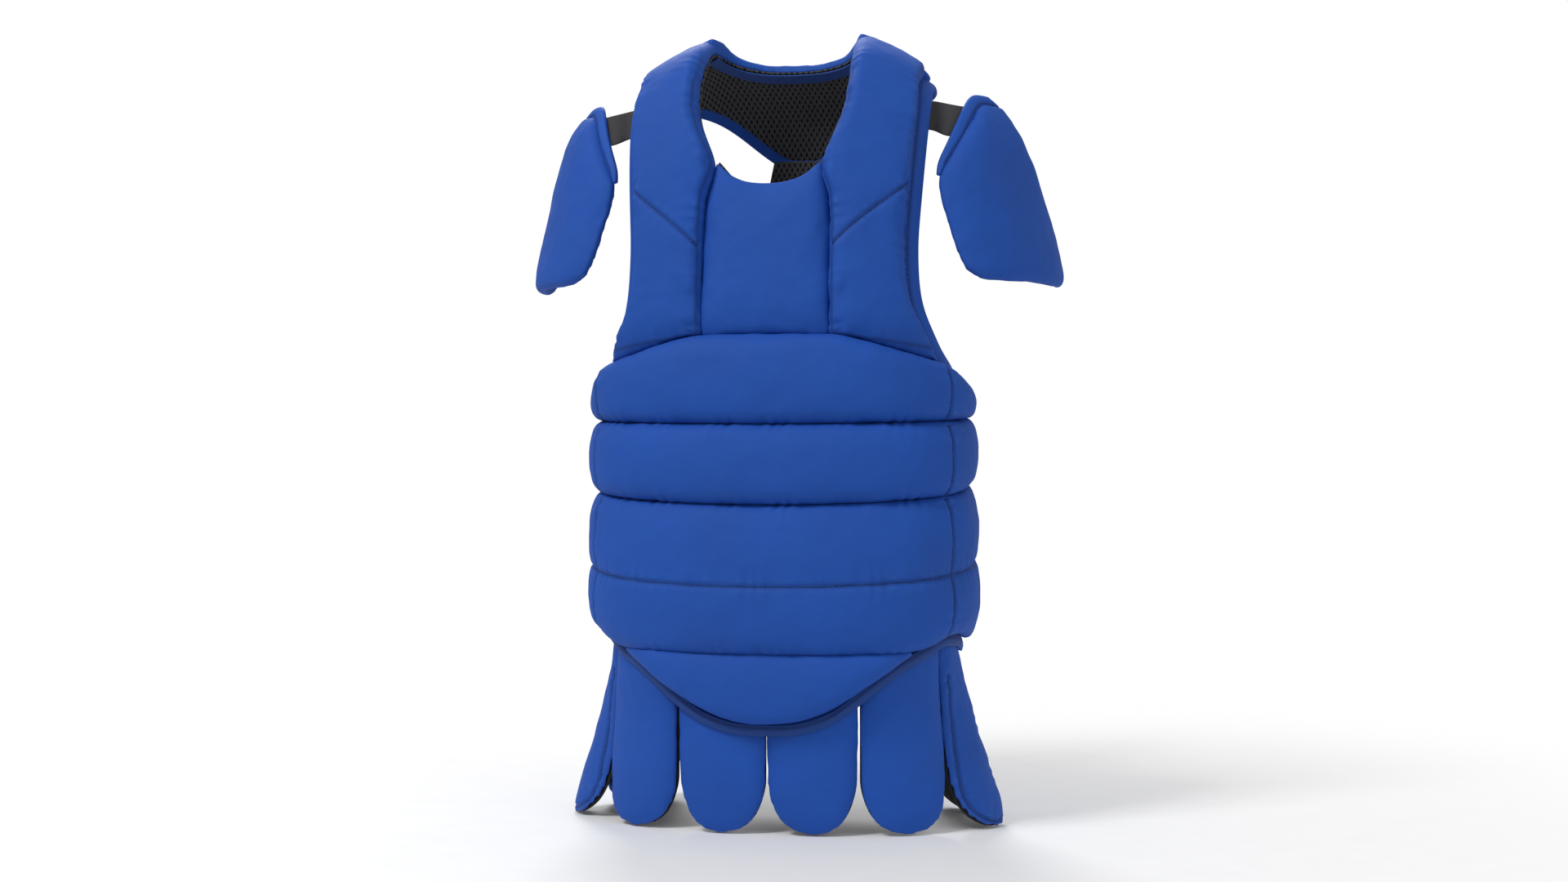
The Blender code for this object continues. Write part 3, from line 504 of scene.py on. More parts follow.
def bearings_at(points):
    depth = np.where(points[:, 1] < 0, FRONT_DEPTH, BACK_DEPTH)
    return np.degrees(np.arctan2(points[:, 0] / HALF_WIDTH, -points[:, 1] / depth))


def wrapped(points):
    """Cloth that goes round the body: distance along its girth, height."""
    return np.column_stack((np.interp(bearings_at(points), *girth()), points[:, 2]))


def over_shoulder(points):
    """Cloth that climbs the chest and goes over the shoulder: distance across, distance along."""
    side = np.clip(points[:, 0] / HALF_WIDTH, -0.999, 0.999)
    depth = (1 - np.abs(side) ** ROUNDNESS) ** (1 / ROUNDNESS)
    across = np.interp(np.degrees(np.arctan2(side, depth)), *girth())
    past = np.maximum(np.abs(side) - SHOULDER_SHARES[0], 0.0)
    fall = SHOULDER_FALL * (past / (SHOULDER_SHARES[1] - SHOULDER_SHARES[0])) ** SHOULDER_CURVE
    sink = -points[:, 2] - fall
    arch = np.where(points[:, 1] < 0, FRONT_ARCH, BACK_ARCH)
    reach = np.where(points[:, 1] < 0, FRONT_DEPTH, BACK_DEPTH) * np.maximum(depth, 0.3)
    rise = np.arctan2(np.maximum(1 - sink / arch, 0.0), np.abs(points[:, 1]) / reach)
    climb = np.where(sink > arch, arch - sink, ARCH_PATH * rise / math.pi)
    return np.column_stack((across, np.where(points[:, 1] < 0, climb, ARCH_PATH - climb)))


def laid_flat(points):
    """Cloth that hangs nearly flat on the back."""
    return points[:, [0, 2]].copy()


def round_cap(points):
    """Cloth on a shoulder cap: distance round it, height."""
    sign = np.sign(points[:, 0].mean())
    angle = np.arctan2(sign * points[:, 0] - CAP_AXIS[0], CAP_AXIS[1] - points[:, 1])
    return np.column_stack((sign * angle * CAP_RADIUS, points[:, 2]))


def belt_run(points):
    """Webbing that goes round the back: height across it, girth along it."""
    return wrapped(points)[:, ::-1].copy()


def cap_strap_run(points):
    """Webbing between the armhole and the cap: height across it, distance along it."""
    return np.column_stack((points[:, 2], np.abs(points[:, 0]) * 0.8 - points[:, 1] * 0.6))


def cloth_map_for(node):
    """The way that the cloth of a node is laid."""
    if node.startswith(("chest", "sternum", "yoke")):
        return over_shoulder
    if node.startswith("spine"):
        return laid_flat
    if node.startswith("shoulder_cap"):
        return round_cap
    return wrapped


def only(piece):
    """Selects one piece and makes it active."""
    if bpy.context.mode != "OBJECT":
        bpy.ops.object.mode_set(mode="OBJECT")
    bpy.ops.object.select_all(action="DESELECT")
    piece.select_set(True)
    bpy.context.view_layer.objects.active = piece


def apply(piece, kind, **settings):
    """Adds a modifier with its settings and applies it."""
    only(piece)
    modifier = piece.modifiers.new(kind.lower(), kind)
    for name, value in settings.items():
        setattr(modifier, name, value)
    bpy.ops.object.modifier_apply(modifier=modifier.name)


def subdivide(piece, levels):
    apply(piece, "SUBSURF", levels=levels, render_levels=levels)


def spread(piece, node, reach):
    """Moves the rim of a merged copy sideways. `reach` is a function of points for how far, and how
    far inwards."""
    points, normals = points_of(piece), normals_of(piece)
    away = away_from_body(points, node)
    aside = normals - np.einsum("ij,ij->i", normals, away)[:, None] * away
    length = np.linalg.norm(aside, axis=1)
    rim = length > 0.3
    out, inward = reach(points)
    move = aside / np.maximum(length, 1e-9)[:, None] * out[:, None] - away * inward[:, None]
    points[rim] += move[rim]
    move_to(piece, points)


def copy_of(node, name, crease, reach=None):
    """A new piece from a CAD node's mesh, merged and made quads, its sharp edges creased."""
    piece = bpy.data.objects.new(name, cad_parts[node].data.copy())
    bpy.context.scene.collection.objects.link(piece)
    piece.data.materials.clear()
    only(piece)
    bpy.ops.object.mode_set(mode="EDIT")
    bpy.ops.mesh.select_mode(type="EDGE")
    bpy.ops.mesh.select_all(action="SELECT")
    bpy.ops.mesh.remove_doubles(threshold=1e-5)
    bpy.ops.mesh.tris_convert_to_quads(face_threshold=math.pi, shape_threshold=math.pi)
    bpy.ops.mesh.mark_sharp(clear=True)
    bpy.ops.mesh.select_all(action="DESELECT")
    bpy.ops.mesh.edges_select_sharp(sharpness=math.radians(50))
    bpy.ops.transform.edge_crease(value=crease)
    bpy.ops.object.mode_set(mode="OBJECT")
    if reach:
        spread(piece, node, reach)
    return piece


def points_of(piece):
    points = np.empty(len(piece.data.vertices) * 3)
    piece.data.vertices.foreach_get("co", points)
    return points.reshape(-1, 3)


def normals_of(piece):
    normals = np.empty(len(piece.data.vertices) * 3)
    piece.data.vertices.foreach_get("normal", normals)
    return normals.reshape(-1, 3)


def move_to(piece, points):
    piece.data.vertices.foreach_set("co", points.ravel())
    piece.data.update()


def edges_of(piece):
    ends = np.empty(len(piece.data.edges) * 2, int)
    piece.data.edges.foreach_get("vertices", ends)
    return ends.reshape(-1, 2)


def neighbour_mean(values, ends):
    """The mean of each vertex's neighbours."""
    total = np.zeros_like(values)
    count = np.zeros(len(values))
    for a, b in ((0, 1), (1, 0)):
        np.add.at(total, ends[:, a], values[ends[:, b]])
        np.add.at(count, ends[:, a], 1)
    count = np.maximum(count, 1)
    return total / (count[:, None] if values.ndim > 1 else count)


def lay_cloth(piece, spots):
    """Gives the piece its cloth map, in metres of cloth."""
    layers = piece.data.uv_layers
    while layers:
        layers.remove(layers[0])
    layer = layers.new(name="Cloth")
    corners = np.empty(len(piece.data.loops), int)
    piece.data.loops.foreach_get("vertex_index", corners)
    layer.data.foreach_set("uv", spots[corners].ravel())


def mark_wear(piece):
    """Stores how much each point stands out, where cloth rubs and fades first."""
    points, normals, ends = points_of(piece), normals_of(piece), edges_of(piece)
    step = np.linalg.norm(points[ends[:, 0]] - points[ends[:, 1]], axis=1).mean()
    pull = neighbour_mean(points, ends) - points
    bend = -np.einsum("ij,ij->i", pull, normals) / step
    for _ in range(3):
        bend = 0.5 * bend + 0.5 * neighbour_mean(bend, ends)
    wear = np.clip((bend - 0.02) / 0.16, 0.0, 1.0)
    attribute = piece.data.attributes.new("wear", "FLOAT", "POINT")
    attribute.data.foreach_set("value", wear.astype(np.float32))


def finish_piece(piece, material, slot, *nodes):
    """Shades and colours a piece that rides on the armour, and attaches it to the root."""
    only(piece)
    piece.data.materials.clear()
    piece.data.materials.append(material)
    bpy.ops.object.shade_smooth_by_angle(angle=math.radians(60))
    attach(piece, "root")
    if nodes:
        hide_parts(*nodes)


class Wiring:
    """A node tree and short ways to add and join its nodes."""

    def __init__(self, tree):
        self.tree = tree

    def node(self, kind, feeds=None, **settings):
        made = self.tree.nodes.new(kind)
        made.location = (200 * (len(self.tree.nodes) % 12), -200 * (len(self.tree.nodes) // 12))
        for name, value in settings.items():
            setattr(made, name, value)
        for socket, value in (feeds or {}).items():
            self.feed(made.inputs[socket], value)
        return made

    def feed(self, socket, value):
        if isinstance(value, bpy.types.NodeSocket):
            self.tree.links.new(value, socket)
        else:
            socket.default_value = value

    def math(self, operation, *values):
        made = self.node("ShaderNodeMath", operation=operation)
        for socket, value in zip(made.inputs, values):
            self.feed(socket, value)
        return made.outputs[0]

    def mix(self, share, first, second, blend="MIX"):
        made = self.node("ShaderNodeMix", data_type="RGBA", blend_type=blend)
        for socket, value in ((0, share), (6, first), (7, second)):
            self.feed(made.inputs[socket], value)
        return made.outputs[2]

    def ramp(self, value, low, high):
        """0 below low, 1 above high, smooth between them."""
        made = self.node("ShaderNodeMapRange", {"Value": value}, interpolation_type="SMOOTHSTEP")
        made.inputs["From Min"].default_value = low
        made.inputs["From Max"].default_value = high
        return made.outputs["Result"]


def new_group(name, inputs, outputs):
    """An empty shader group with its sockets, or None where it is made already."""
    if name in bpy.data.node_groups:
        return None
    tree = bpy.data.node_groups.new(name, "ShaderNodeTree")
    for way, sockets in (("INPUT", inputs), ("OUTPUT", outputs)):
        for socket, kind in sockets:
            tree.interface.new_socket(name=socket, in_out=way, socket_type=f"NodeSocket{kind}")
    wires = Wiring(tree)
    wires.inputs = wires.node("NodeGroupInput").outputs
    wires.outputs = wires.node("NodeGroupOutput").inputs
    return wires


def split(wires, place):
    parts = wires.node("ShaderNodeSeparateXYZ", {"Vector": place})
    return parts.outputs["X"], parts.outputs["Y"]


def plain_weave():
    """Threads that pass over and under each other, a pitch apart; Shade paints the crossings of one set
    lighter and of the other darker, as painted highlight and shade.
    """
    wires = new_group(
        "plain_weave",
        (("Cloth", "Vector"), ("Pitch", "Float")),
        (("Height", "Float"), ("Shade", "Float")),
    )
    if wires:
        across, along = split(wires, wires.inputs["Cloth"])
        waves = []
        for value in (across, along):
            turn = wires.math("DIVIDE", value, wires.inputs["Pitch"])
            waves.append(wires.math("SINE", wires.math("MULTIPLY", turn, math.pi)))
        cell = wires.math("MULTIPLY", *waves)
        pillow = wires.math("POWER", wires.math("ABSOLUTE", cell), 0.6)
        wires.feed(wires.outputs["Height"], pillow)
        # Painted highlight and shade: crossings of one set of threads come out lighter, of the other
        # darker.
        wires.feed(wires.outputs["Shade"], wires.math("MULTIPLY_ADD", cell, 0.5, 0.5))
    return bpy.data.node_groups["plain_weave"]


def open_mesh():
    """Rows of long diamond holes, each row set half a hole over from the last."""
    wires = new_group(
        "open_mesh",
        (("Cloth", "Vector"), ("Across", "Float"), ("Along", "Float"), ("Open", "Float")),
        (("Hole", "Float"), ("Height", "Float")),
    )
    if wires:
        across, along = split(wires, wires.inputs["Cloth"])
        u = wires.math("DIVIDE", across, wires.inputs["Across"])
        v = wires.math("DIVIDE", along, wires.inputs["Along"])
        reaches = []
        for shift in (0.0, 0.5):
            steps = []
            for value in (u, v):
                part = wires.math("FRACT", wires.math("ADD", value, shift))
                steps.append(wires.math("ABSOLUTE", wires.math("SUBTRACT", part, 0.5)))
            long = wires.math("MULTIPLY", steps[1], 0.86)
            powers = [wires.math("POWER", step, 1.45) for step in (steps[0], long)]
            reaches.append(wires.math("POWER", wires.math("ADD", *powers), 1 / 1.45))
        reach = wires.math("MINIMUM", *reaches)
        rim = wires.math("SUBTRACT", reach, wires.inputs["Open"])
        solid = wires.ramp(rim, -0.03, 0.05)
        wires.feed(wires.outputs["Hole"], wires.math("SUBTRACT", 1.0, solid))
        wires.feed(wires.outputs["Height"], wires.ramp(rim, -0.06, 0.14))
    return bpy.data.node_groups["open_mesh"]


def ribbed_webbing():
    """Lengthwise ribs crossed by a fine weft, as on elastic and on binding tape; Shade repeats the height,
    as painted shade in the valleys.
    """
    wires = new_group(
        "ribbed_webbing",
        (("Cloth", "Vector"), ("Rib", "Float"), ("Weft", "Float")),
        (("Height", "Float"), ("Shade", "Float")),
    )
    if wires:
        across, along = split(wires, wires.inputs["Cloth"])
        turn = wires.math("MULTIPLY", wires.math("DIVIDE", across, wires.inputs["Rib"]), math.pi)
        rib = wires.math("SINE", turn)
        step = wires.math("MULTIPLY", wires.math("DIVIDE", along, wires.inputs["Weft"]), math.pi)
        weft = wires.math("MULTIPLY", wires.math("SINE", step), wires.math("SIGN", rib))
        crown = wires.math("POWER", wires.math("ABSOLUTE", rib), 0.5)
        bump = wires.math("MULTIPLY_ADD", weft, 0.25, 0.75)
        wires.feed(wires.outputs["Height"], wires.math("MULTIPLY", crown, bump))
        # Painted shade: the Shade output is the height itself, so the valleys between ribs are coloured
        # darker.
        wires.feed(wires.outputs["Shade"], wires.math("MULTIPLY", crown, bump))
    return bpy.data.node_groups["ribbed_webbing"]


def cloth_tone():
    """Uneven dye, painted light and shade of the weave's threads, soft crumples, and fading where the cloth
    rubs.
    """
    wires = new_group(
        "cloth_tone",
        (
            ("Place", "Vector"),
            ("Colour", "Color"),
            ("Faded", "Color"),
            ("Shade", "Float"),
            ("Contrast", "Float"),
            ("Wear", "Float"),
            ("Dull", "Float"),
        ),
        (("Colour", "Color"), ("Roughness", "Float"), ("Crumple", "Float")),
    )
    if wires:
        place = wires.inputs["Place"]
        dye = wires.node("ShaderNodeTexNoise", {"Vector": place, "Scale": 14.0, "Detail": 3.0})
        rub = wires.node("ShaderNodeTexNoise", {"Vector": place, "Scale": 160.0, "Detail": 4.0})
        crumple = wires.node("ShaderNodeTexNoise", {"Vector": place, "Scale": 70.0, "Detail": 2.0})
        crumple.inputs["Distortion"].default_value = 0.6
        uneven = wires.math("MULTIPLY_ADD", dye.outputs["Fac"], 0.30, 0.85)
        # Painted light and shade: the weave's Shade lightens and darkens the colour thread by thread, as
        # much as Contrast asks.
        painted_thread_light = wires.math("SUBTRACT", wires.inputs["Shade"], 0.5)
        woven = wires.math("MULTIPLY_ADD", painted_thread_light, wires.inputs["Contrast"], 1.0)
        grey = wires.node("ShaderNodeCombineXYZ")
        for socket in grey.inputs:
            wires.feed(socket, wires.math("MULTIPLY", uneven, woven))
        colour = wires.mix(1.0, wires.inputs["Colour"], grey.outputs[0], "MULTIPLY")
        patchy = wires.ramp(rub.outputs["Fac"], 0.30, 0.72)
        worn = wires.math("MULTIPLY", wires.inputs["Wear"], patchy)
        wires.feed(wires.outputs["Colour"], wires.mix(worn, colour, wires.inputs["Faded"]))
        dull = wires.math("MULTIPLY_ADD", dye.outputs["Fac"], 0.16, wires.inputs["Dull"])
        wires.feed(wires.outputs["Roughness"], wires.math("SUBTRACT", dull, 0.08))
        wires.feed(wires.outputs["Crumple"], crumple.outputs["Fac"])
    return bpy.data.node_groups["cloth_tone"]


def new_material(name):
    """An empty Principled material and its wiring."""
    material = bpy.data.materials.new(name)
    material.use_nodes = True
    wires = Wiring(material.node_tree)
    wires.shader = material.node_tree.nodes["Principled BSDF"]
    return material, wires


def tone(wires, colour, faded, shade, contrast, dull, wear=0.5):
    """Places the cloth_tone group and joins its colour, darkened by painted shade where the seam attribute
    marks a groove, and its roughness.
    """
    place = wires.node("ShaderNodeTexCoord").outputs["Object"]
    worn = wires.node("ShaderNodeAttribute", attribute_name="wear")
    feeds = {
        "Place": place,
        "Colour": (*colour, 1.0),
        "Faded": (*faded, 1.0),
        "Shade": shade,
        "Contrast": contrast,
        "Wear": wires.math("MULTIPLY", worn.outputs["Fac"], wear),
        "Dull": dull,
    }
    made = wires.node("ShaderNodeGroup", node_tree=cloth_tone())
    for name, value in feeds.items():
        wires.feed(made.inputs[name], value)
    # Painted shade: where the seam attribute is set, the colour is mixed towards a dark copy of itself, as
    # the shade in a sewn groove.
    seam = wires.node("ShaderNodeAttribute", attribute_name="seam")
    seam_shadow_colour = tuple(part * 0.22 for part in colour)
    near = wires.mix(seam.outputs["Fac"], made.outputs["Colour"], (*seam_shadow_colour, 1.0))
    wires.feed(wires.shader.inputs["Base Color"], near)
    wires.feed(wires.shader.inputs["Roughness"], made.outputs["Roughness"])
    return made.outputs["Crumple"]


def relief(wires, *heights):
    """Joins heights in millimetres, each a socket and its size, to the shader's normal."""
    total = None
    for socket, size in heights:
        part = wires.math("MULTIPLY", socket, size)
        total = part if total is None else wires.math("ADD", total, part)
    bump = wires.node("ShaderNodeBump", {"Height": total, "Distance": 0.001})
    wires.feed(wires.shader.inputs["Normal"], bump.outputs["Normal"])


def cloth_spot(wires):
    return wires.node("ShaderNodeUVMap", uv_map="Cloth").outputs["UV"]


def woven(wires, pitch):
    made = wires.node("ShaderNodeGroup", node_tree=plain_weave())
    wires.feed(made.inputs["Cloth"], cloth_spot(wires))
    made.inputs["Pitch"].default_value = pitch
    return made.outputs["Height"], made.outputs["Shade"]


def faded(colour, lift):
    """A paler, greyer cast of a colour."""
    grey = sum(colour) / 3
    return tuple((part + (grey - part) * 0.18) * (1 + lift) + 0.004 for part in colour)


def set_sheen(shader, weight, colour):
    """A cloth's soft edge light, the same all over."""
    shader.inputs["Sheen Weight"].default_value = weight
    shader.inputs["Sheen Roughness"].default_value = 0.45
    shader.inputs["Sheen Tint"].default_value = (*colour, 1.0)
    shader.inputs["Specular IOR Level"].default_value = 0.32


def pad_cloth(name, colour, pitch):
    """The tightly woven shell of the pads."""
    if name in bpy.data.materials:
        return bpy.data.materials[name]
    material, wires = new_material(name)
    height, shade = woven(wires, pitch)
    crumple = tone(wires, colour, faded(colour, 0.55), shade, 0.20, 0.72)
    relief(wires, (height, 0.10), (crumple, 0.35))
    set_sheen(wires.shader, 0.07, faded(colour, 1.2))
    return material


def tape_cloth(name, colour, rib=0.0011, weft=0.0007, depth=0.14):
    """Ribbed binding tape."""
    if name in bpy.data.materials:
        return bpy.data.materials[name]
    material, wires = new_material(name)
    made = wires.node("ShaderNodeGroup", node_tree=ribbed_webbing())
    wires.feed(made.inputs["Cloth"], cloth_spot(wires))
    made.inputs["Rib"].default_value = rib
    made.inputs["Weft"].default_value = weft
    crumple = tone(wires, colour, faded(colour, 0.5), made.outputs["Shade"], 0.35, 0.68)
    relief(wires, (made.outputs["Height"], depth), (crumple, 0.2))
    set_sheen(wires.shader, 0.10, faded(colour, 1.0))
    return material


def mesh_cloth(cloth):
    """Black spacer mesh with long diamond holes, the holes painted near-black as the shade inside them."""
    name = "mesh_lining"
    if name in bpy.data.materials:
        return bpy.data.materials[name]
    material, wires = new_material(name)
    spot = cloth_spot(wires)
    made = wires.node("ShaderNodeGroup", node_tree=open_mesh())
    wires.feed(made.inputs["Cloth"], spot)
    made.inputs["Across"].default_value = cloth.hole_across
    made.inputs["Along"].default_value = cloth.hole_along
    made.inputs["Open"].default_value = 0.20
    height, shade = woven(wires, cloth.weave_pitch * 0.6)
    crumple = tone(wires, MESH_GREY, faded(MESH_GREY, 0.5), shade, 0.45, 0.80)
    toned = wires.shader.inputs["Base Color"].links[0].from_socket
    # Painted shade: the holes are coloured near-black for the dark depth inside them.
    colour = wires.mix(made.outputs["Hole"], toned, (*HOLE_SHADE_BLACK, 1.0))
    wires.feed(wires.shader.inputs["Base Color"], colour)
    relief(wires, (made.outputs["Height"], 0.7), (height, 0.06), (crumple, 0.2))
    set_sheen(wires.shader, 0.05, (0.2, 0.2, 0.2))
    return material


def hook_cloth():
    """Hook tape: rows of stiff black hooks."""
    name = "hook_fastening"
    if name in bpy.data.materials:
        return bpy.data.materials[name]
    material, wires = new_material(name)
    spot = cloth_spot(wires)
    cells = wires.node("ShaderNodeTexVoronoi", {"Vector": spot, "Scale": 620.0, "Randomness": 0.45})
    hooks = wires.ramp(cells.outputs["Distance"], 0.55, 0.10)
    # Painted light and shade: the hooks' mask also colours their tops lighter and the gaps between them
    # darker.
    crumple = tone(wires, HOOK_BLACK, faded(HOOK_BLACK, 1.5), hooks, 1.2, 0.62)
    relief(wires, (hooks, 0.5), (crumple, 0.1))
    set_sheen(wires.shader, 0.04, (0.3, 0.3, 0.3))
    return material


def thread(name, colour):
    """Twisted sewing thread."""
    if name in bpy.data.materials:
        return bpy.data.materials[name]
    material, wires = new_material(name)
    place = wires.node("ShaderNodeTexCoord").outputs["Object"]
    twist = wires.node("ShaderNodeTexNoise", {"Vector": place, "Scale": 2600.0, "Detail": 1.0})
    tone(wires, colour, faded(colour, 0.8), twist.outputs["Fac"], 0.5, 0.55, 0.0)
    relief(wires, (twist.outputs["Fac"], 0.08))
    wires.shader.inputs["Specular IOR Level"].default_value = 0.4
    return material


def away_from_body(points, node):
    """The direction out of the armour at each point."""
    centre = np.zeros_like(points)
    centre[:, 2] = np.minimum(points[:, 2], -0.15)
    if "_cap" in node or node.startswith("cap_binding"):
        centre[:, 0] = CAP_AXIS[0] * np.sign(points[:, 0].mean())
        centre[:, 1] = CAP_AXIS[1]
        centre[:, 2] = points[:, 2]
    away = points - centre
    return away / np.linalg.norm(away, axis=1)[:, None]


def room_for(node, points):
    """How far each point of a pad may swell outwards before it would press on its neighbours."""
    turn = np.abs(bearings_at(points))
    if node in RIBS:
        return np.interp(turn, (60, 118), (0.0036, 0.0004))
    if node.startswith("chest_pad"):
        return np.interp(points[:, 2], (-0.15, -0.04), (0.0040, 0.0008))
    if node == "yoke_pad":
        return np.full(len(points), 0.0016)
    if node == "spine_pad":
        return np.full(len(points), 0.0004)
    if node in CAPS:
        return np.full(len(points), 0.0026)
    return np.full(len(points), 0.0028)


def held_share(facing):
    """1 on a pad's inner face, which is sewn to its lining, 0 on its outer one."""
    return np.clip((-facing - 0.1) / 0.5, 0.0, 1.0)


def pad_reach(node):
    """How far a pad's rim goes out to meet its neighbours."""

    def reach(points):
        aside, depth, height = np.abs(points[:, 0]), np.abs(points[:, 1]), points[:, 2]
        turn = np.abs(bearings_at(points))
        out = np.full(len(points), RIM_REACH)
        if node in ("rib_lower", "belly_pad"):
            out += np.interp(height, (-0.54, -0.52), (HEM_REACH, 0.0)) * (turn < FRONT_ENDS)
            out += WING_REACH * (turn > FRONT_ENDS)
        if node == "rib_middle":
            out += WING_REACH * (turn > 135)
        if node == "rib_upper":
            out += CHEST_FOOT_REACH * (height > -0.33)
        if node.startswith("chest_pad"):
            beside_sternum = (aside < 0.065) & (height < NECKLINE_FOOT)
            out += CHEST_FOOT_REACH * (height < CHEST_FOOT) + CHEST_FOOT_REACH * beside_sternum
        if node == "sternum_pad":
            out += STERNUM_REACH * (aside > 0.036)
        if node.startswith("chest_pad") or node == "yoke_pad":
            out += SHOULDER_REACH * ((depth < 0.015) & (height > -0.06))
        if node in FLAP_NAMES:
            out += FLAP_REACH
        if node in CAPS:
            out += CAP_REACH
        return out, np.zeros(len(points))

    return reach


def lining_reach(node):
    """How far a lining's rim laps under the next one, so that no seam lets light through."""

    def reach(points):
        aside, height = np.abs(points[:, 0]), points[:, 2]
        turn = np.abs(bearings_at(points))
        out = np.full(len(points), LINING_REACH)
        inward = np.zeros(len(points))
        if node == "waist_lining":
            top = (height > -0.32) & (turn < 84)
            foot = (height < -0.52) & (turn < FRONT_ENDS)
            out = np.select((top, foot), (WAIST_LAP[0], WAIST_FOOT_REACH), WAIST_REACH)
            inward = np.where(top, WAIST_LAP[1], 0.0)
        if node == "sternum_lining":
            side = (height < -0.105) & (aside > 0.036)
            out = np.where(side, STERNUM_LAP[0], 0.0)
            inward = np.where(side, STERNUM_LAP[1], 0.0)
        if node == "yoke_lining":
            out = np.full(len(points), YOKE_LINING_REACH)
        return out, inward

    return reach


def cut_pad(node, voxel):
    """A pad's shell, remeshed evenly for the cloth simulation."""
    pad = copy_of(node, f"{node}_cover", 0.85, pad_reach(node))
    subdivide(pad, 2)
    only(pad)
    pad.data.remesh_voxel_size = voxel
    pad.data.use_remesh_fix_poles = True
    pad.data.use_remesh_preserve_volume = True
    bpy.ops.object.voxel_remesh()
    points = points_of(pad)
    ends = edges_of(pad)
    points = 0.6 * points + 0.4 * neighbour_mean(points, ends)
    move_to(pad, points)
    return pad


def fill_pads(pads, settings):
    """Swells pads, given by node, as cloth under air pressure, then holds them within their room."""
    starts = {}
    for node, pad in pads.items():
        points, normals = points_of(pad), normals_of(pad)
        facing = np.einsum("ij,ij->i", normals, away_from_body(points, node))
        starts[node] = (points, normals, facing)
        held = pad.vertex_groups.new(name="held")
        for number, share in enumerate(held_share(facing)):
            if share > 0.02:
                held.add([number], float(share), "REPLACE")
        cloth = pad.modifiers.new("cloth", "CLOTH")
        cloth.settings.quality = 4
        cloth.settings.mass = 0.25
        cloth.settings.tension_stiffness = 12
        cloth.settings.compression_stiffness = 8
        cloth.settings.bending_stiffness = 0.4
        cloth.settings.use_pressure = True
        cloth.settings.uniform_pressure_force = settings.pressure
        cloth.settings.vertex_group_mass = "held"
        cloth.settings.effector_weights.gravity = 0.0
        cloth.point_cache.frame_end = FILL_FRAMES
    for number in range(1, FILL_FRAMES + 1):
        bpy.context.scene.frame_set(number)
    for node, pad in pads.items():
        only(pad)
        bpy.ops.object.modifier_apply(modifier="cloth")
        points, normals, facing = starts[node]
        moved = points_of(pad) - points
        out = np.einsum("ij,ij->i", moved, normals)
        aside = moved - out[:, None] * normals
        share = np.clip((facing - 0.3) / 0.5, 0.0, 1.0)
        limit = SEWN_LIMIT + (room_for(node, points) - SEWN_LIMIT) * share * share * (3 - 2 * share)
        out = limit * np.tanh(out / limit)
        length = np.maximum(np.linalg.norm(aside, axis=1), 1e-9)
        aside *= (np.minimum(length, ASIDE_LIMIT * share) / length)[:, None]
        move_to(pad, points + out[:, None] * normals + aside)
        pad.vertex_groups.clear()
    bpy.context.scene.frame_set(1)


def tree_of(piece):
    mesh = piece.data
    points = [vertex.co for vertex in mesh.vertices]
    return BVHTree.FromPolygons(points, [face.vertices for face in mesh.polygons])


def trace(tree, rays, steep=0.35):
    """Where rays meet a piece on the face turned to them, as points and normals."""
    points, normals = [], []
    for start, way in rays:
        spot, normal, _, _ = tree.ray_cast(Vector(start), Vector(way), RAY_REACH)
        if spot is not None and -normal.dot(Vector(way)) > steep:
            points.append(spot)
            normals.append(normal)
    return np.array(points), np.array(normals)


def stepped(points, normals, step):
    """Points and normals a step apart along a trace, with how far along each one is."""
    if len(points) < 2:
        return np.empty((0, 3)), np.empty((0, 3)), np.empty(0)
    spans = np.linalg.norm(np.diff(points, axis=0), axis=1)
    lengths = np.concatenate(([0.0], np.cumsum(spans)))
    at = np.arange(step / 2, lengths[-1], step)
    spots = np.column_stack([np.interp(at, lengths, points[:, axis]) for axis in range(3)])
    ways = np.column_stack([np.interp(at, lengths, normals[:, axis]) for axis in range(3)])
    ways /= np.linalg.norm(ways, axis=1)[:, None]
    return spots, ways, at


def paint_seam_shade(piece, shares):
    """Stores painted shade where a piece's cloth is drawn into a seam, as the seam attribute that darkens
    its colour there.
    """
    seam = piece.data.attributes.get("seam") or piece.data.attributes.new("seam", "FLOAT", "POINT")
    held = np.empty(len(shares))
    seam.data.foreach_get("value", held)
    seam.data.foreach_set("value", np.maximum(held, shares))


def press(piece, lines, depth, width, pucker, shade=0.55):
    """Sinks a sewn groove along traces, gathers the cloth beside it, and notes painted shade along the
    groove, `shade` where it is strongest.
    """
    spots, lengths = [], []
    for points, normals in lines:
        even, _, at = stepped(points, normals, 0.001)
        spots.extend(even)
        lengths.extend(at)
    if not spots:
        return
    near = KDTree(len(spots))
    for number, spot in enumerate(spots):
        near.insert(spot, number)
    near.balance()
    points, normals = points_of(piece), normals_of(piece)
    low, high = np.min(spots, axis=0) - GATHER_ENDS, np.max(spots, axis=0) + GATHER_ENDS
    inside = np.nonzero(((points > low) & (points < high)).all(axis=1))[0]
    shares = np.zeros(len(points))
    for number in inside:
        _, found, distance = near.find(Vector(points[number]))
        if distance > GATHER_ENDS:
            continue
        at = lengths[found]
        sunk = depth * math.exp(-((distance / width) ** 2))
        # Painted shade for the groove: strongest on its line, fading beside it.
        shares[number] = shade * math.exp(-((distance / (0.8 * width)) ** 2))
        shift = GATHER_UNEVEN[0] * math.sin(2 * math.pi * at / GATHER_UNEVEN[1])
        wave = math.sin(2 * math.pi * at / GATHER_SPACING + shift)
        swell = 0.6 + 0.4 * math.sin(2 * math.pi * at / GATHER_SWELL + 1.0)
        beside = math.exp(-distance / GATHER_FADES) * (1 - math.exp(-((distance / width) ** 2)))
        points[number] += normals[number] * (pucker * wave * swell * beside - sunk)
    move_to(piece, points)
    paint_seam_shade(piece, shares)


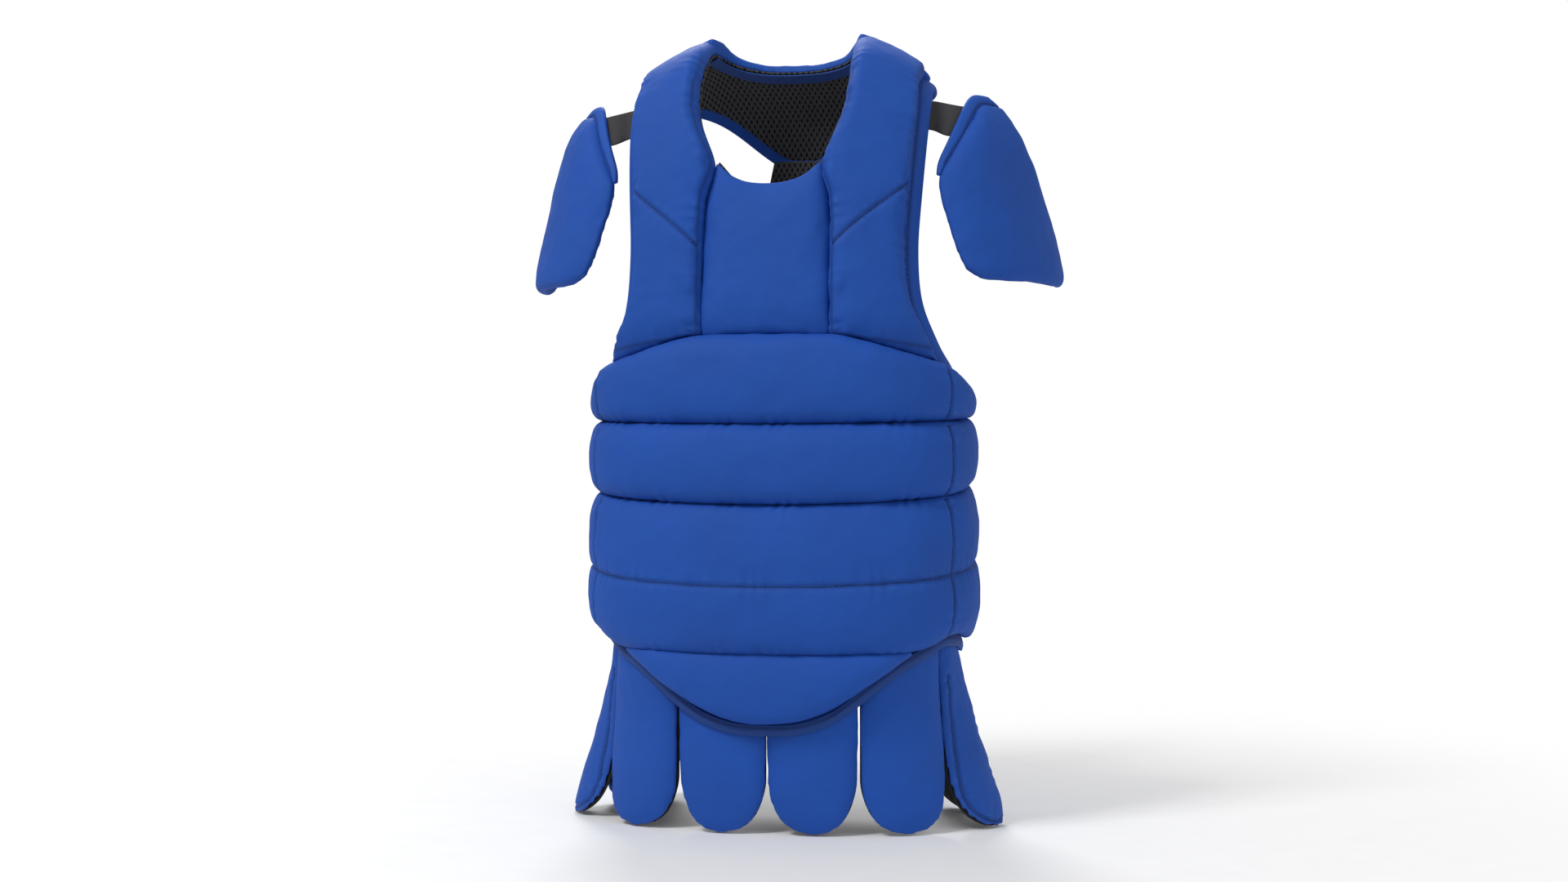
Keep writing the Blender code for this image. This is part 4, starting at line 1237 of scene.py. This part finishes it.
def ripple(piece, size):
    """Small uneven swells, as in cloth over foam."""
    points, normals = points_of(piece), normals_of(piece)
    lifts = [noise.noise(Vector(point) * 38) + 0.5 * noise.noise(Vector(point) * 90) for point in points]
    move_to(piece, points + normals * np.array(lifts)[:, None] * size)


@cache
def stitch_template():
    """One stitch of unit size, lying along X: its points and faces."""
    bpy.ops.object.select_all(action="DESELECT")
    bpy.ops.mesh.primitive_uv_sphere_add(segments=6, ring_count=4, radius=1.0)
    ball = bpy.context.active_object
    bpy.ops.object.mode_set(mode="EDIT")
    bpy.ops.mesh.select_all(action="SELECT")
    bpy.ops.transform.rotate(
        value=math.pi / 2, orient_axis="Y", orient_type="GLOBAL", center_override=(0, 0, 0)
    )
    bpy.ops.mesh.normals_make_consistent(inside=False)
    bpy.ops.object.mode_set(mode="OBJECT")
    points = points_of(ball)
    faces = [tuple(face.vertices) for face in ball.data.polygons]
    bpy.data.objects.remove(ball, do_unlink=True)
    return points, faces


def sew(name, lines, sewing, material, slot):
    """A row of stitches along each trace, as one piece."""
    template, template_faces = stitch_template()
    step = sewing.stitch_length + sewing.stitch_gap
    size = np.array((sewing.stitch_length / 2, sewing.thread_radius, sewing.thread_radius))
    points, faces = [], []
    for trace_points, trace_normals in lines:
        spots, ways, _ = stepped(trace_points, trace_normals, step)
        if len(spots) < 2:
            continue
        along = np.gradient(spots, axis=0)
        for spot, up, ahead in zip(spots, ways, along):
            ahead = ahead - up * (ahead @ up)
            ahead /= np.linalg.norm(ahead)
            turn = np.array((ahead, np.cross(up, ahead), up))
            first = len(points) * len(template)
            points.append((template * size) @ turn + spot + up * sewing.thread_radius * 0.35)
            faces.extend(tuple(first + corner for corner in face) for face in template_faces)
    mesh = bpy.data.meshes.new(name)
    mesh.from_pydata(np.concatenate(points).tolist(), [], faces)
    piece = bpy.data.objects.new(name, mesh)
    bpy.context.scene.collection.objects.link(piece)
    finish_piece(piece, material, slot)
    return piece


def places_between(first, last, count):
    """Places on a straight run between two (side, drop) pairs on the chest."""
    shares = np.linspace(0, 1, count)
    runs = [np.array(first) + (np.array(last) - np.array(first)) * share for share in shares]
    return [at_front(bearing_of(side), drop) for side, drop in runs]


def flap_outline(first, last, margin):
    """The line of a +X flap's topstitching, a margin inside its edge."""
    hem = FLAP_TOP * ARMOUR_DROP
    round_from = FLAP_END - FLAP_ROUND
    down = [at_front(first, drop) for drop in np.linspace(hem, round_from, 10)[:-1]]
    turns = (1 - np.cos(np.linspace(0, math.pi, 25))) / 2
    foot = []
    for share in turns:
        rise = FLAP_ROUND * (1 - max(1 - abs(2 * share - 1) ** 2.2, 0.0) ** (1 / 2.2))
        foot.append(at_front(first + share * (last - first), FLAP_END - rise))
    up = [at_front(last, drop) for drop in np.linspace(round_from, hem, 10)[1:]]
    return inset(down + foot + up, margin)


def seams_of(node):
    """The rays of each sewn line on a pad."""
    both = {
        "chest_pad_right": [places_between(*CHEST_SEAM, 40)],
        "rib_lower": [[(b, level("lower_stitch", b)) for b in range(-WING_END, WING_END + 1, 2)]],
    }
    both["chest_pad_left"] = [mirrored(line) for line in both["chest_pad_right"]]
    lines = list(both.get(node, []))
    if node in RIBS:
        for bearing in (-RIB_SEAM_BEARING, RIB_SEAM_BEARING):
            lines.append([at_front(bearing, drop) for drop in np.linspace(*RIB_SEAM_DROPS, 90)])
    if node == "spine_pad":
        for drop, reach in SPINE_SEAMS:
            xs = np.linspace(-reach, reach, 40)
            lines.append([at_back(bearing_of(x / section(drop)[0]), drop) for x in xs])
        lines.append([at_back(0.0, drop) for drop in np.linspace(*SPINE_MIDDLE_DROPS, 30)])
    for right, left, first, last in FLAPS:
        if right.startswith("front"):
            continue
        if node == right:
            lines.append(flap_outline(first, last, FLAP_SEAM_INSET))
        if node == left:
            lines.append(mirrored(flap_outline(first, last, FLAP_SEAM_INSET)))
    return [[body_ray(place) for place in line] for line in lines]


def gathers_of(node):
    """Lines along a pad's edges, where its cloth is gathered but no stitch shows."""
    lines = []
    if node.startswith("chest_pad"):
        lines = [inset(chest_inner_line(), -0.002)]
        lines.append(inset(armhole_line()[2:], ARMHOLE_BINDING_WIDTH + 0.003))
        foot = CHEST_ROWS[0]
        lines.append(places_between((foot[1], foot[0] * ARMOUR_DROP), (foot[3], foot[2] * ARMOUR_DROP), 20))
        if node.endswith("left"):
            lines = [mirrored(line) for line in lines]
    if node in RIBS:
        for name in ("upper_groove", "middle_groove", "rib_foot"):
            lines.append([(b, level(name, b)) for b in range(-WING_END, WING_END + 1, 3)])
    return [[body_ray(place) for place in line] for line in lines]


def make_pads(nodes, settings):
    voxel = settings.pads.voxel
    pads = {node: cut_pad(node, voxel) for node in nodes}
    fill_pads(pads, settings.pads)
    rows = []
    for node, pad in pads.items():
        subdivide(pad, 1)
        ripple(pad, settings.pads.ripple)
        tree = tree_of(pad)
        gathers = [trace(tree, rays, 0.05) for rays in gathers_of(node)]
        press(pad, gathers, 0.0, 0.0022, settings.pads.pucker)
        seams = [trace(tree, rays) for rays in seams_of(node)]
        soft = SPINE_SOFTENS if node == "spine_pad" else 1.0
        press(pad, seams, settings.pads.seam_depth * soft, 0.0021 * soft, settings.pads.pucker)
        tree = tree_of(pad)
        rows.extend(trace(tree, rays) for rays in seams_of(node))
        lay_cloth(pad, cloth_map_for(node)(points_of(pad)))
        mark_wear(pad)
        cloth = settings.cloth
        finish_piece(pad, pad_cloth("blue_shell", cloth.blue, cloth.weave_pitch), "blue_cloth", node)
    return [row for row in rows if len(row[0]) > 2]


EDGINGS = {
    "armhole_binding_right": (armhole_line, 1, ARMHOLE_BINDING_WIDTH, False),
    "armhole_binding_left": (armhole_line, 1, ARMHOLE_BINDING_WIDTH, True),
    "wing_binding_right": (wing_line, -1, BINDING_WIDTH, False),
    "wing_binding_left": (wing_line, -1, BINDING_WIDTH, True),
    "hem_binding": (hem_line, -1, BINDING_WIDTH, False),
    "yoke_binding": (yoke_edge, -1, BINDING_WIDTH, False),
}


def taped(points, line):
    """Tape laid along a line of points: distance along it, distance across it."""
    near = KDTree(len(line))
    for number, spot in enumerate(line):
        near.insert(spot, number)
    near.balance()
    spans = np.linalg.norm(np.diff(line, axis=0), axis=1)
    lengths = np.concatenate(([0.0], np.cumsum(spans)))
    spots = []
    for point in points:
        spot, number, distance = near.find(Vector(point))
        after = min(number + 1, len(line) - 1)
        before = max(number - 1, 0)
        ahead = line[after] - line[before]
        ahead = ahead / np.linalg.norm(ahead)
        spots.append((lengths[number] + float((point - line[number]) @ ahead), distance))
    return np.array(spots)


def edging_reach(points):
    """Edgings reach the pads that they are sewn to."""
    on_cap = np.abs(points[:, 0]) > HALF_WIDTH
    return np.where(on_cap, CAP_EDGING_REACH, EDGING_REACH), np.zeros(len(points))


def dress_edging(node, dark, settings):
    """An edging's rounded tape and its material."""
    piece = copy_of(node, f"{node}_edging", 0.6, edging_reach)
    subdivide(piece, 2)
    colour = NAVY if dark else settings.cloth.blue
    material = tape_cloth("navy_tape" if dark else "blue_tape", colour)
    return piece, material


class PadSettings(bpy.types.PropertyGroup):
    """How the pads are filled and sewn."""

    voxel: FloatProperty(
        name="Cloth step",
        description="Distance between the points of a pad's cloth while it is filled",
        default=0.004,
        min=0.003,
        max=0.006,
        unit="LENGTH",
    )
    pressure: FloatProperty(
        name="Pressure",
        description="Air pressure that fills the pads",
        default=4.0,
        min=0.0,
        max=10.0,
    )
    seam_depth: FloatProperty(
        name="Seam depth",
        description="How far a sewn line is sunk into a pad",
        default=0.0020,
        min=0.0,
        max=0.004,
        unit="LENGTH",
    )
    pucker: FloatProperty(
        name="Pucker",
        description="Height of the gathers beside a seam",
        default=0.0011,
        min=0.0,
        max=0.002,
        unit="LENGTH",
    )
    ripple: FloatProperty(
        name="Ripple",
        description="Height of the uneven swells in a pad's cloth",
        default=0.0008,
        min=0.0,
        max=0.002,
        unit="LENGTH",
    )


class ClothSettings(bpy.types.PropertyGroup):
    """Colours and weaves."""

    blue: FloatVectorProperty(
        name="Blue cloth",
        description="Colour of the pads and of most edgings",
        default=(0.0070, 0.072, 0.385),
        size=3,
        subtype="COLOR",
        min=0.0,
        max=1.0,
    )
    grey: FloatVectorProperty(
        name="Webbing",
        description="Colour of the elastic webbing",
        default=(0.034, 0.032, 0.034),
        size=3,
        subtype="COLOR",
        min=0.0,
        max=1.0,
    )
    weave_pitch: FloatProperty(
        name="Weave pitch",
        description="Distance between threads of the blue cloth",
        default=0.0009,
        min=0.0003,
        max=0.003,
        unit="LENGTH",
    )
    hole_across: FloatProperty(
        name="Mesh pitch across",
        description="Distance between mesh holes of one row",
        default=0.0053,
        min=0.002,
        max=0.02,
        unit="LENGTH",
    )
    hole_along: FloatProperty(
        name="Mesh pitch along",
        description="Distance between every second row of mesh holes",
        default=0.0094,
        min=0.002,
        max=0.03,
        unit="LENGTH",
    )


class SewingSettings(bpy.types.PropertyGroup):
    """Thread and stitches."""

    stitch_length: FloatProperty(
        name="Stitch length",
        description="Length of one stitch",
        default=0.0032,
        min=0.001,
        max=0.01,
        unit="LENGTH",
    )
    stitch_gap: FloatProperty(
        name="Stitch gap",
        description="Space between two stitches",
        default=0.0012,
        min=0.0005,
        max=0.01,
        unit="LENGTH",
    )
    thread_radius: FloatProperty(
        name="Thread radius",
        description="Half of the thread's thickness",
        default=0.0004,
        min=0.0001,
        max=0.001,
        unit="LENGTH",
    )


class StageSettings(bpy.types.PropertyGroup):
    """Camera and floor."""

    distance: FloatProperty(
        name="Camera distance",
        description="Distance from the camera to the armour's middle",
        default=1.9,
        min=0.5,
        max=10.0,
        unit="LENGTH",
    )
    azimuth: FloatProperty(
        name="Camera azimuth",
        description="How far the camera stands round towards +X",
        default=math.radians(11.0),
        subtype="ANGLE",
    )
    focal_length: FloatProperty(
        name="Focal length",
        description="The camera lens in millimetres",
        default=47.5,
        min=10.0,
        max=200.0,
    )
    floor_radius: FloatProperty(
        name="Floor radius",
        description="How far out the pale floor has faded into the surroundings",
        default=1.1,
        min=0.5,
        max=5.0,
        unit="LENGTH",
    )
    height: FloatProperty(
        name="Camera height",
        description="Height of the camera above the shoulders",
        default=-0.358,
        unit="LENGTH",
    )


class ArmourSettings(bpy.types.PropertyGroup):
    """All settings of the padded torso armour."""

    pads: PointerProperty(type=PadSettings)
    cloth: PointerProperty(type=ClothSettings)
    sewing: PointerProperty(type=SewingSettings)
    stage: PointerProperty(type=StageSettings)


def settings_of(context):
    return context.scene.torso_armour


def sew_blue(name, rows, settings):
    sew(name, rows, settings.sewing, thread("navy_thread", THREAD_NAVY), "dark_binding")


class ARMOUR_OT_torso_pads(bpy.types.Operator):
    """Make the chest, sternum, yoke and belly pads"""

    bl_idname = "armour.torso_pads"
    bl_label = "Torso pads"

    def execute(self, context):
        settings = settings_of(context)
        sew_blue("chest_stitches", make_pads(TORSO_PADS, settings), settings)
        return {"FINISHED"}


class ARMOUR_OT_ribs(bpy.types.Operator):
    """Make the three padded ribs that wrap round to the back"""

    bl_idname = "armour.ribs"
    bl_label = "Ribs"

    def execute(self, context):
        settings = settings_of(context)
        sew_blue("rib_stitches", make_pads(RIBS, settings), settings)
        return {"FINISHED"}


class ARMOUR_OT_spine_pad(bpy.types.Operator):
    """Make the long tapered pad of the back"""

    bl_idname = "armour.spine_pad"
    bl_label = "Spine pad"

    def execute(self, context):
        settings = settings_of(context)
        sew_blue("spine_stitches", make_pads(("spine_pad",), settings), settings)
        return {"FINISHED"}


class ARMOUR_OT_shoulder_caps(bpy.types.Operator):
    """Make the two shoulder caps"""

    bl_idname = "armour.shoulder_caps"
    bl_label = "Shoulder caps"

    def execute(self, context):
        make_pads(CAPS, settings_of(context))
        return {"FINISHED"}


class ARMOUR_OT_hip_flaps(bpy.types.Operator):
    """Make the eight hip flaps and their black linings"""

    bl_idname = "armour.hip_flaps"
    bl_label = "Hip flaps"

    def execute(self, context):
        settings = settings_of(context)
        sew_blue("flap_stitches", make_pads(FLAP_NAMES, settings), settings)
        cloth = settings.cloth
        for name in FLAP_NAMES:
            node = f"{name}_lining"
            material = pad_cloth("black_lining", FLAP_BLACK, cloth.weave_pitch)
            make_lining(node, material, "flap_lining")
        return {"FINISHED"}


def make_lining(node, material, slot):
    """A thin sheet of lining on the inside of its pad."""
    sheet = copy_of(node, f"{node}_sheet", 1.0, lining_reach(node))
    subdivide(sheet, 2)
    spots = cloth_map_for(node)(points_of(sheet))
    lay_cloth(sheet, spots)
    mark_wear(sheet)
    finish_piece(sheet, material, slot, node)
    area = sum(face.area for face in sheet.data.polygons) / 2
    width, length = spots.max(axis=0) - spots.min(axis=0)
    width = max(width, area / length)
    return sheet


def lining_rays(line):
    """Rays from within the armour out to a line of its lining."""
    rays = []
    for place in line:
        start, way = body_ray(place)
        rays.append((start + way * (RAY_START + LINING_RAY_START), -way))
    return rays


class ARMOUR_OT_mesh_linings(bpy.types.Operator):
    """Make the black mesh linings of the vest and the spine pad"""

    bl_idname = "armour.mesh_linings"
    bl_label = "Mesh linings"

    def execute(self, context):
        material = mesh_cloth(settings_of(context).cloth)
        rows = []
        for node in LININGS:
            sheet = make_lining(node, material, "black_mesh")
            if node.startswith("chest"):
                line = places_between(*CHEST_SEAM, 40)
                line = mirrored(line) if node.endswith("left") else line
                rows.append(trace(tree_of(sheet), lining_rays(line)))
        rows = [row for row in rows if len(row[0]) > 2]
        sewing = settings_of(context).sewing
        sew("lining_stitches", rows, sewing, thread("black_thread", HOOK_BLACK), "black_mesh")
        return {"FINISHED"}


class ARMOUR_OT_edgings(bpy.types.Operator):
    """Make the sewn edgings with their stitches"""

    bl_idname = "armour.edgings"
    bl_label = "Edgings"

    def execute(self, context):
        settings = settings_of(context)
        rows = []
        for node, (edge, way, width, flipped) in EDGINGS.items():
            dark = node == "hem_binding"
            slot = "dark_binding" if dark else "blue_cloth"
            piece, material = dress_edging(node, dark, settings)
            line = inset(edge(), way * (width - STITCH_INSET))
            outer = edge()
            if flipped:
                line, outer = mirrored(line), mirrored(outer)
            tree = tree_of(piece)
            rays = [body_ray(place) for place in finer(line, 3)]
            press(piece, [trace(tree, rays)], *EDGING_SEAM)
            rows.append(trace(tree_of(piece), rays))
            lay_cloth(piece, taped(points_of(piece), np.array([skin(place) for place in finer(outer, 6)])))
            mark_wear(piece)
            finish_piece(piece, material, slot, node)
        for node in ("neck_band", "spine_hem"):
            piece, material = dress_edging(node, True, settings)
            lay_cloth(piece, laid_flat(points_of(piece)))
            mark_wear(piece)
            finish_piece(piece, material, "dark_binding", node)
        for sign, node in ((-1, "cap_binding_left"), (1, "cap_binding_right")):
            piece, material = dress_edging(node, False, settings)
            edge = [(across * CAP_WIDTH, down * CAP_HEIGHT) for across, down in CAP_EDGING_ROWS]
            edge = finer(edge, 6)
            sewn = [(across - 0.0012, down - 0.0018) for across, down in edge[4:-6]]
            rays = [cap_ray(sign, spot) for spot in sewn]
            tree = tree_of(piece)
            press(piece, [trace(tree, rays)], *EDGING_SEAM)
            rows.append(trace(tree_of(piece), rays))
            tops = [cap_ray(sign, spot) for spot in edge]
            line = np.array([start + way * CAP_RAY_START for start, way in tops])
            lay_cloth(piece, taped(points_of(piece), line))
            mark_wear(piece)
            finish_piece(piece, material, "blue_cloth", node)
        sew_blue("edging_stitches", rows, settings)
        return {"FINISHED"}


class ARMOUR_OT_webbing(bpy.types.Operator):
    """Make the spine strap, the waist belt and the cap straps with their hook ends"""

    bl_idname = "armour.webbing"
    bl_label = "Straps and belt"

    def execute(self, context):
        settings = settings_of(context)
        webbing = tape_cloth("grey_elastic", settings.cloth.grey, 0.0016, 0.0009, 0.22)
        for node, run, hooks in (
            ("spine_strap", laid_flat, False),
            ("spine_strap_tab", laid_flat, True),
            ("waist_belt", belt_run, False),
            ("waist_belt_tab", belt_run, True),
            ("cap_strap_left", cap_strap_run, False),
            ("cap_strap_right", cap_strap_run, False),
        ):
            piece = copy_of(node, f"{node}_{'hooks' if hooks else 'webbing'}", 0.9)
            subdivide(piece, 2)
            lay_cloth(piece, run(points_of(piece)))
            mark_wear(piece)
            material = hook_cloth() if hooks else webbing
            finish_piece(piece, material, "hook_tape" if hooks else "elastic_webbing", node)
        return {"FINISHED"}


def aim(spot, target):
    """The rotation that points a camera or light at a target."""
    return (Vector(target) - Vector(spot)).to_track_quat("-Z", "Y").to_euler()


class ARMOUR_OT_stage(bpy.types.Operator):
    """Make the pale floor, the soft lights and the camera"""

    bl_idname = "armour.stage"
    bl_label = "Stage"

    def execute(self, context):
        stage = settings_of(context).stage
        middle = (0.0, -0.012, stage.height)
        bpy.ops.object.select_all(action="DESELECT")
        under = (0, 0, CAD_BOX[0][2] - 0.0015)
        bpy.ops.mesh.primitive_circle_add(
            vertices=128, radius=stage.floor_radius, fill_type="NGON", location=under
        )
        floor = context.active_object
        floor.name = "floor"
        bpy.ops.object.transform_apply(location=True)
        material, wires = new_material("pale_floor")
        place = wires.node("ShaderNodeTexCoord").outputs["Object"]
        grain = wires.node("ShaderNodeTexNoise", {"Vector": place, "Scale": 30.0, "Detail": 3.0})
        pale = wires.mix(grain.outputs["Fac"], (0.83, 0.83, 0.83, 1.0), (0.87, 0.87, 0.87, 1.0))
        wires.feed(wires.shader.inputs["Base Color"], pale)
        flat = wires.node("ShaderNodeVectorMath", {0: place, 1: (1.0, 1.0, 0.0)}, operation="MULTIPLY")
        far = wires.node("ShaderNodeVectorMath", {0: flat.outputs["Vector"]}, operation="LENGTH")
        fade = wires.ramp(far.outputs["Value"], stage.floor_radius * 0.95, stage.floor_radius * 0.3)
        wires.feed(wires.shader.inputs["Alpha"], fade)
        wires.shader.inputs["Roughness"].default_value = 0.9
        wires.shader.inputs["Specular IOR Level"].default_value = 0.1
        floor.data.materials.append(material)
        for name, spot, size, power in (
            ("key_light", (-1.5, -1.8, 2.1), 1.0, 60.0),
            ("fill_light", (2.4, -1.7, 0.5), 2.2, 12.0),
            ("back_light", (-0.8, 2.4, 1.9), 1.2, 56.0),
        ):
            bpy.ops.object.light_add(type="AREA", location=spot, rotation=aim(spot, middle))
            light = context.active_object
            light.name = name
            light.data.shape = "DISK"
            light.data.size = size
            light.data.energy = power
            light.visible_camera = False
        world = bpy.data.worlds.new("soft_white")
        world.use_nodes = True
        wires = Wiring(world.node_tree)
        sky = world.node_tree.nodes["Background"].inputs
        sky["Color"].default_value = (1.0, 1.0, 1.0, 1.0)
        seen = wires.node("ShaderNodeLightPath").outputs["Is Camera Ray"]
        wires.feed(sky["Strength"], wires.math("ADD", wires.math("MULTIPLY", seen, 0.5), 0.5))
        context.scene.world = world
        context.scene.view_settings.view_transform = "Standard"
        away = Vector((math.sin(stage.azimuth), -math.cos(stage.azimuth), 0.0)) * stage.distance
        spot = Vector(middle) + away
        bpy.ops.object.camera_add(location=spot, rotation=aim(spot, middle))
        camera = context.active_object
        camera.name = "front_camera"
        camera.data.lens = stage.focal_length
        camera.data.sensor_width = 36.0
        context.scene.camera = camera
        return {"FINISHED"}


OPERATORS = (
    ARMOUR_OT_torso_pads,
    ARMOUR_OT_ribs,
    ARMOUR_OT_spine_pad,
    ARMOUR_OT_shoulder_caps,
    ARMOUR_OT_hip_flaps,
    ARMOUR_OT_mesh_linings,
    ARMOUR_OT_edgings,
    ARMOUR_OT_webbing,
    ARMOUR_OT_stage,
)


class ARMOUR_PT_panel(bpy.types.Panel):
    """Lists the armour's settings and steps"""

    bl_idname = "ARMOUR_PT_panel"
    bl_label = "Padded Torso Armour"
    bl_space_type = "VIEW_3D"
    bl_region_type = "UI"
    bl_category = "Armour"

    def draw(self, context):
        settings = settings_of(context)
        for group in (settings.pads, settings.cloth, settings.sewing, settings.stage):
            box = self.layout.box()
            for name in group.__annotations__:
                box.prop(group, name)
        for operator in OPERATORS:
            self.layout.operator(operator.bl_idname)


CLASSES = (
    PadSettings,
    ClothSettings,
    SewingSettings,
    StageSettings,
    ArmourSettings,
    *OPERATORS,
    ARMOUR_PT_panel,
)


def register():
    for kind in CLASSES:
        bpy.utils.register_class(kind)
    bpy.types.Scene.torso_armour = PointerProperty(type=ArmourSettings)


def unregister():
    del bpy.types.Scene.torso_armour
    for kind in reversed(CLASSES):
        bpy.utils.unregister_class(kind)


def main():
    register()
    bpy.ops.armour.torso_pads()
    bpy.ops.armour.ribs()
    bpy.ops.armour.spine_pad()
    bpy.ops.armour.shoulder_caps()
    bpy.ops.armour.hip_flaps()
    bpy.ops.armour.mesh_linings()
    bpy.ops.armour.edgings()
    bpy.ops.armour.webbing()
    bpy.ops.armour.stage()


if __name__ == "__main__":
    main()
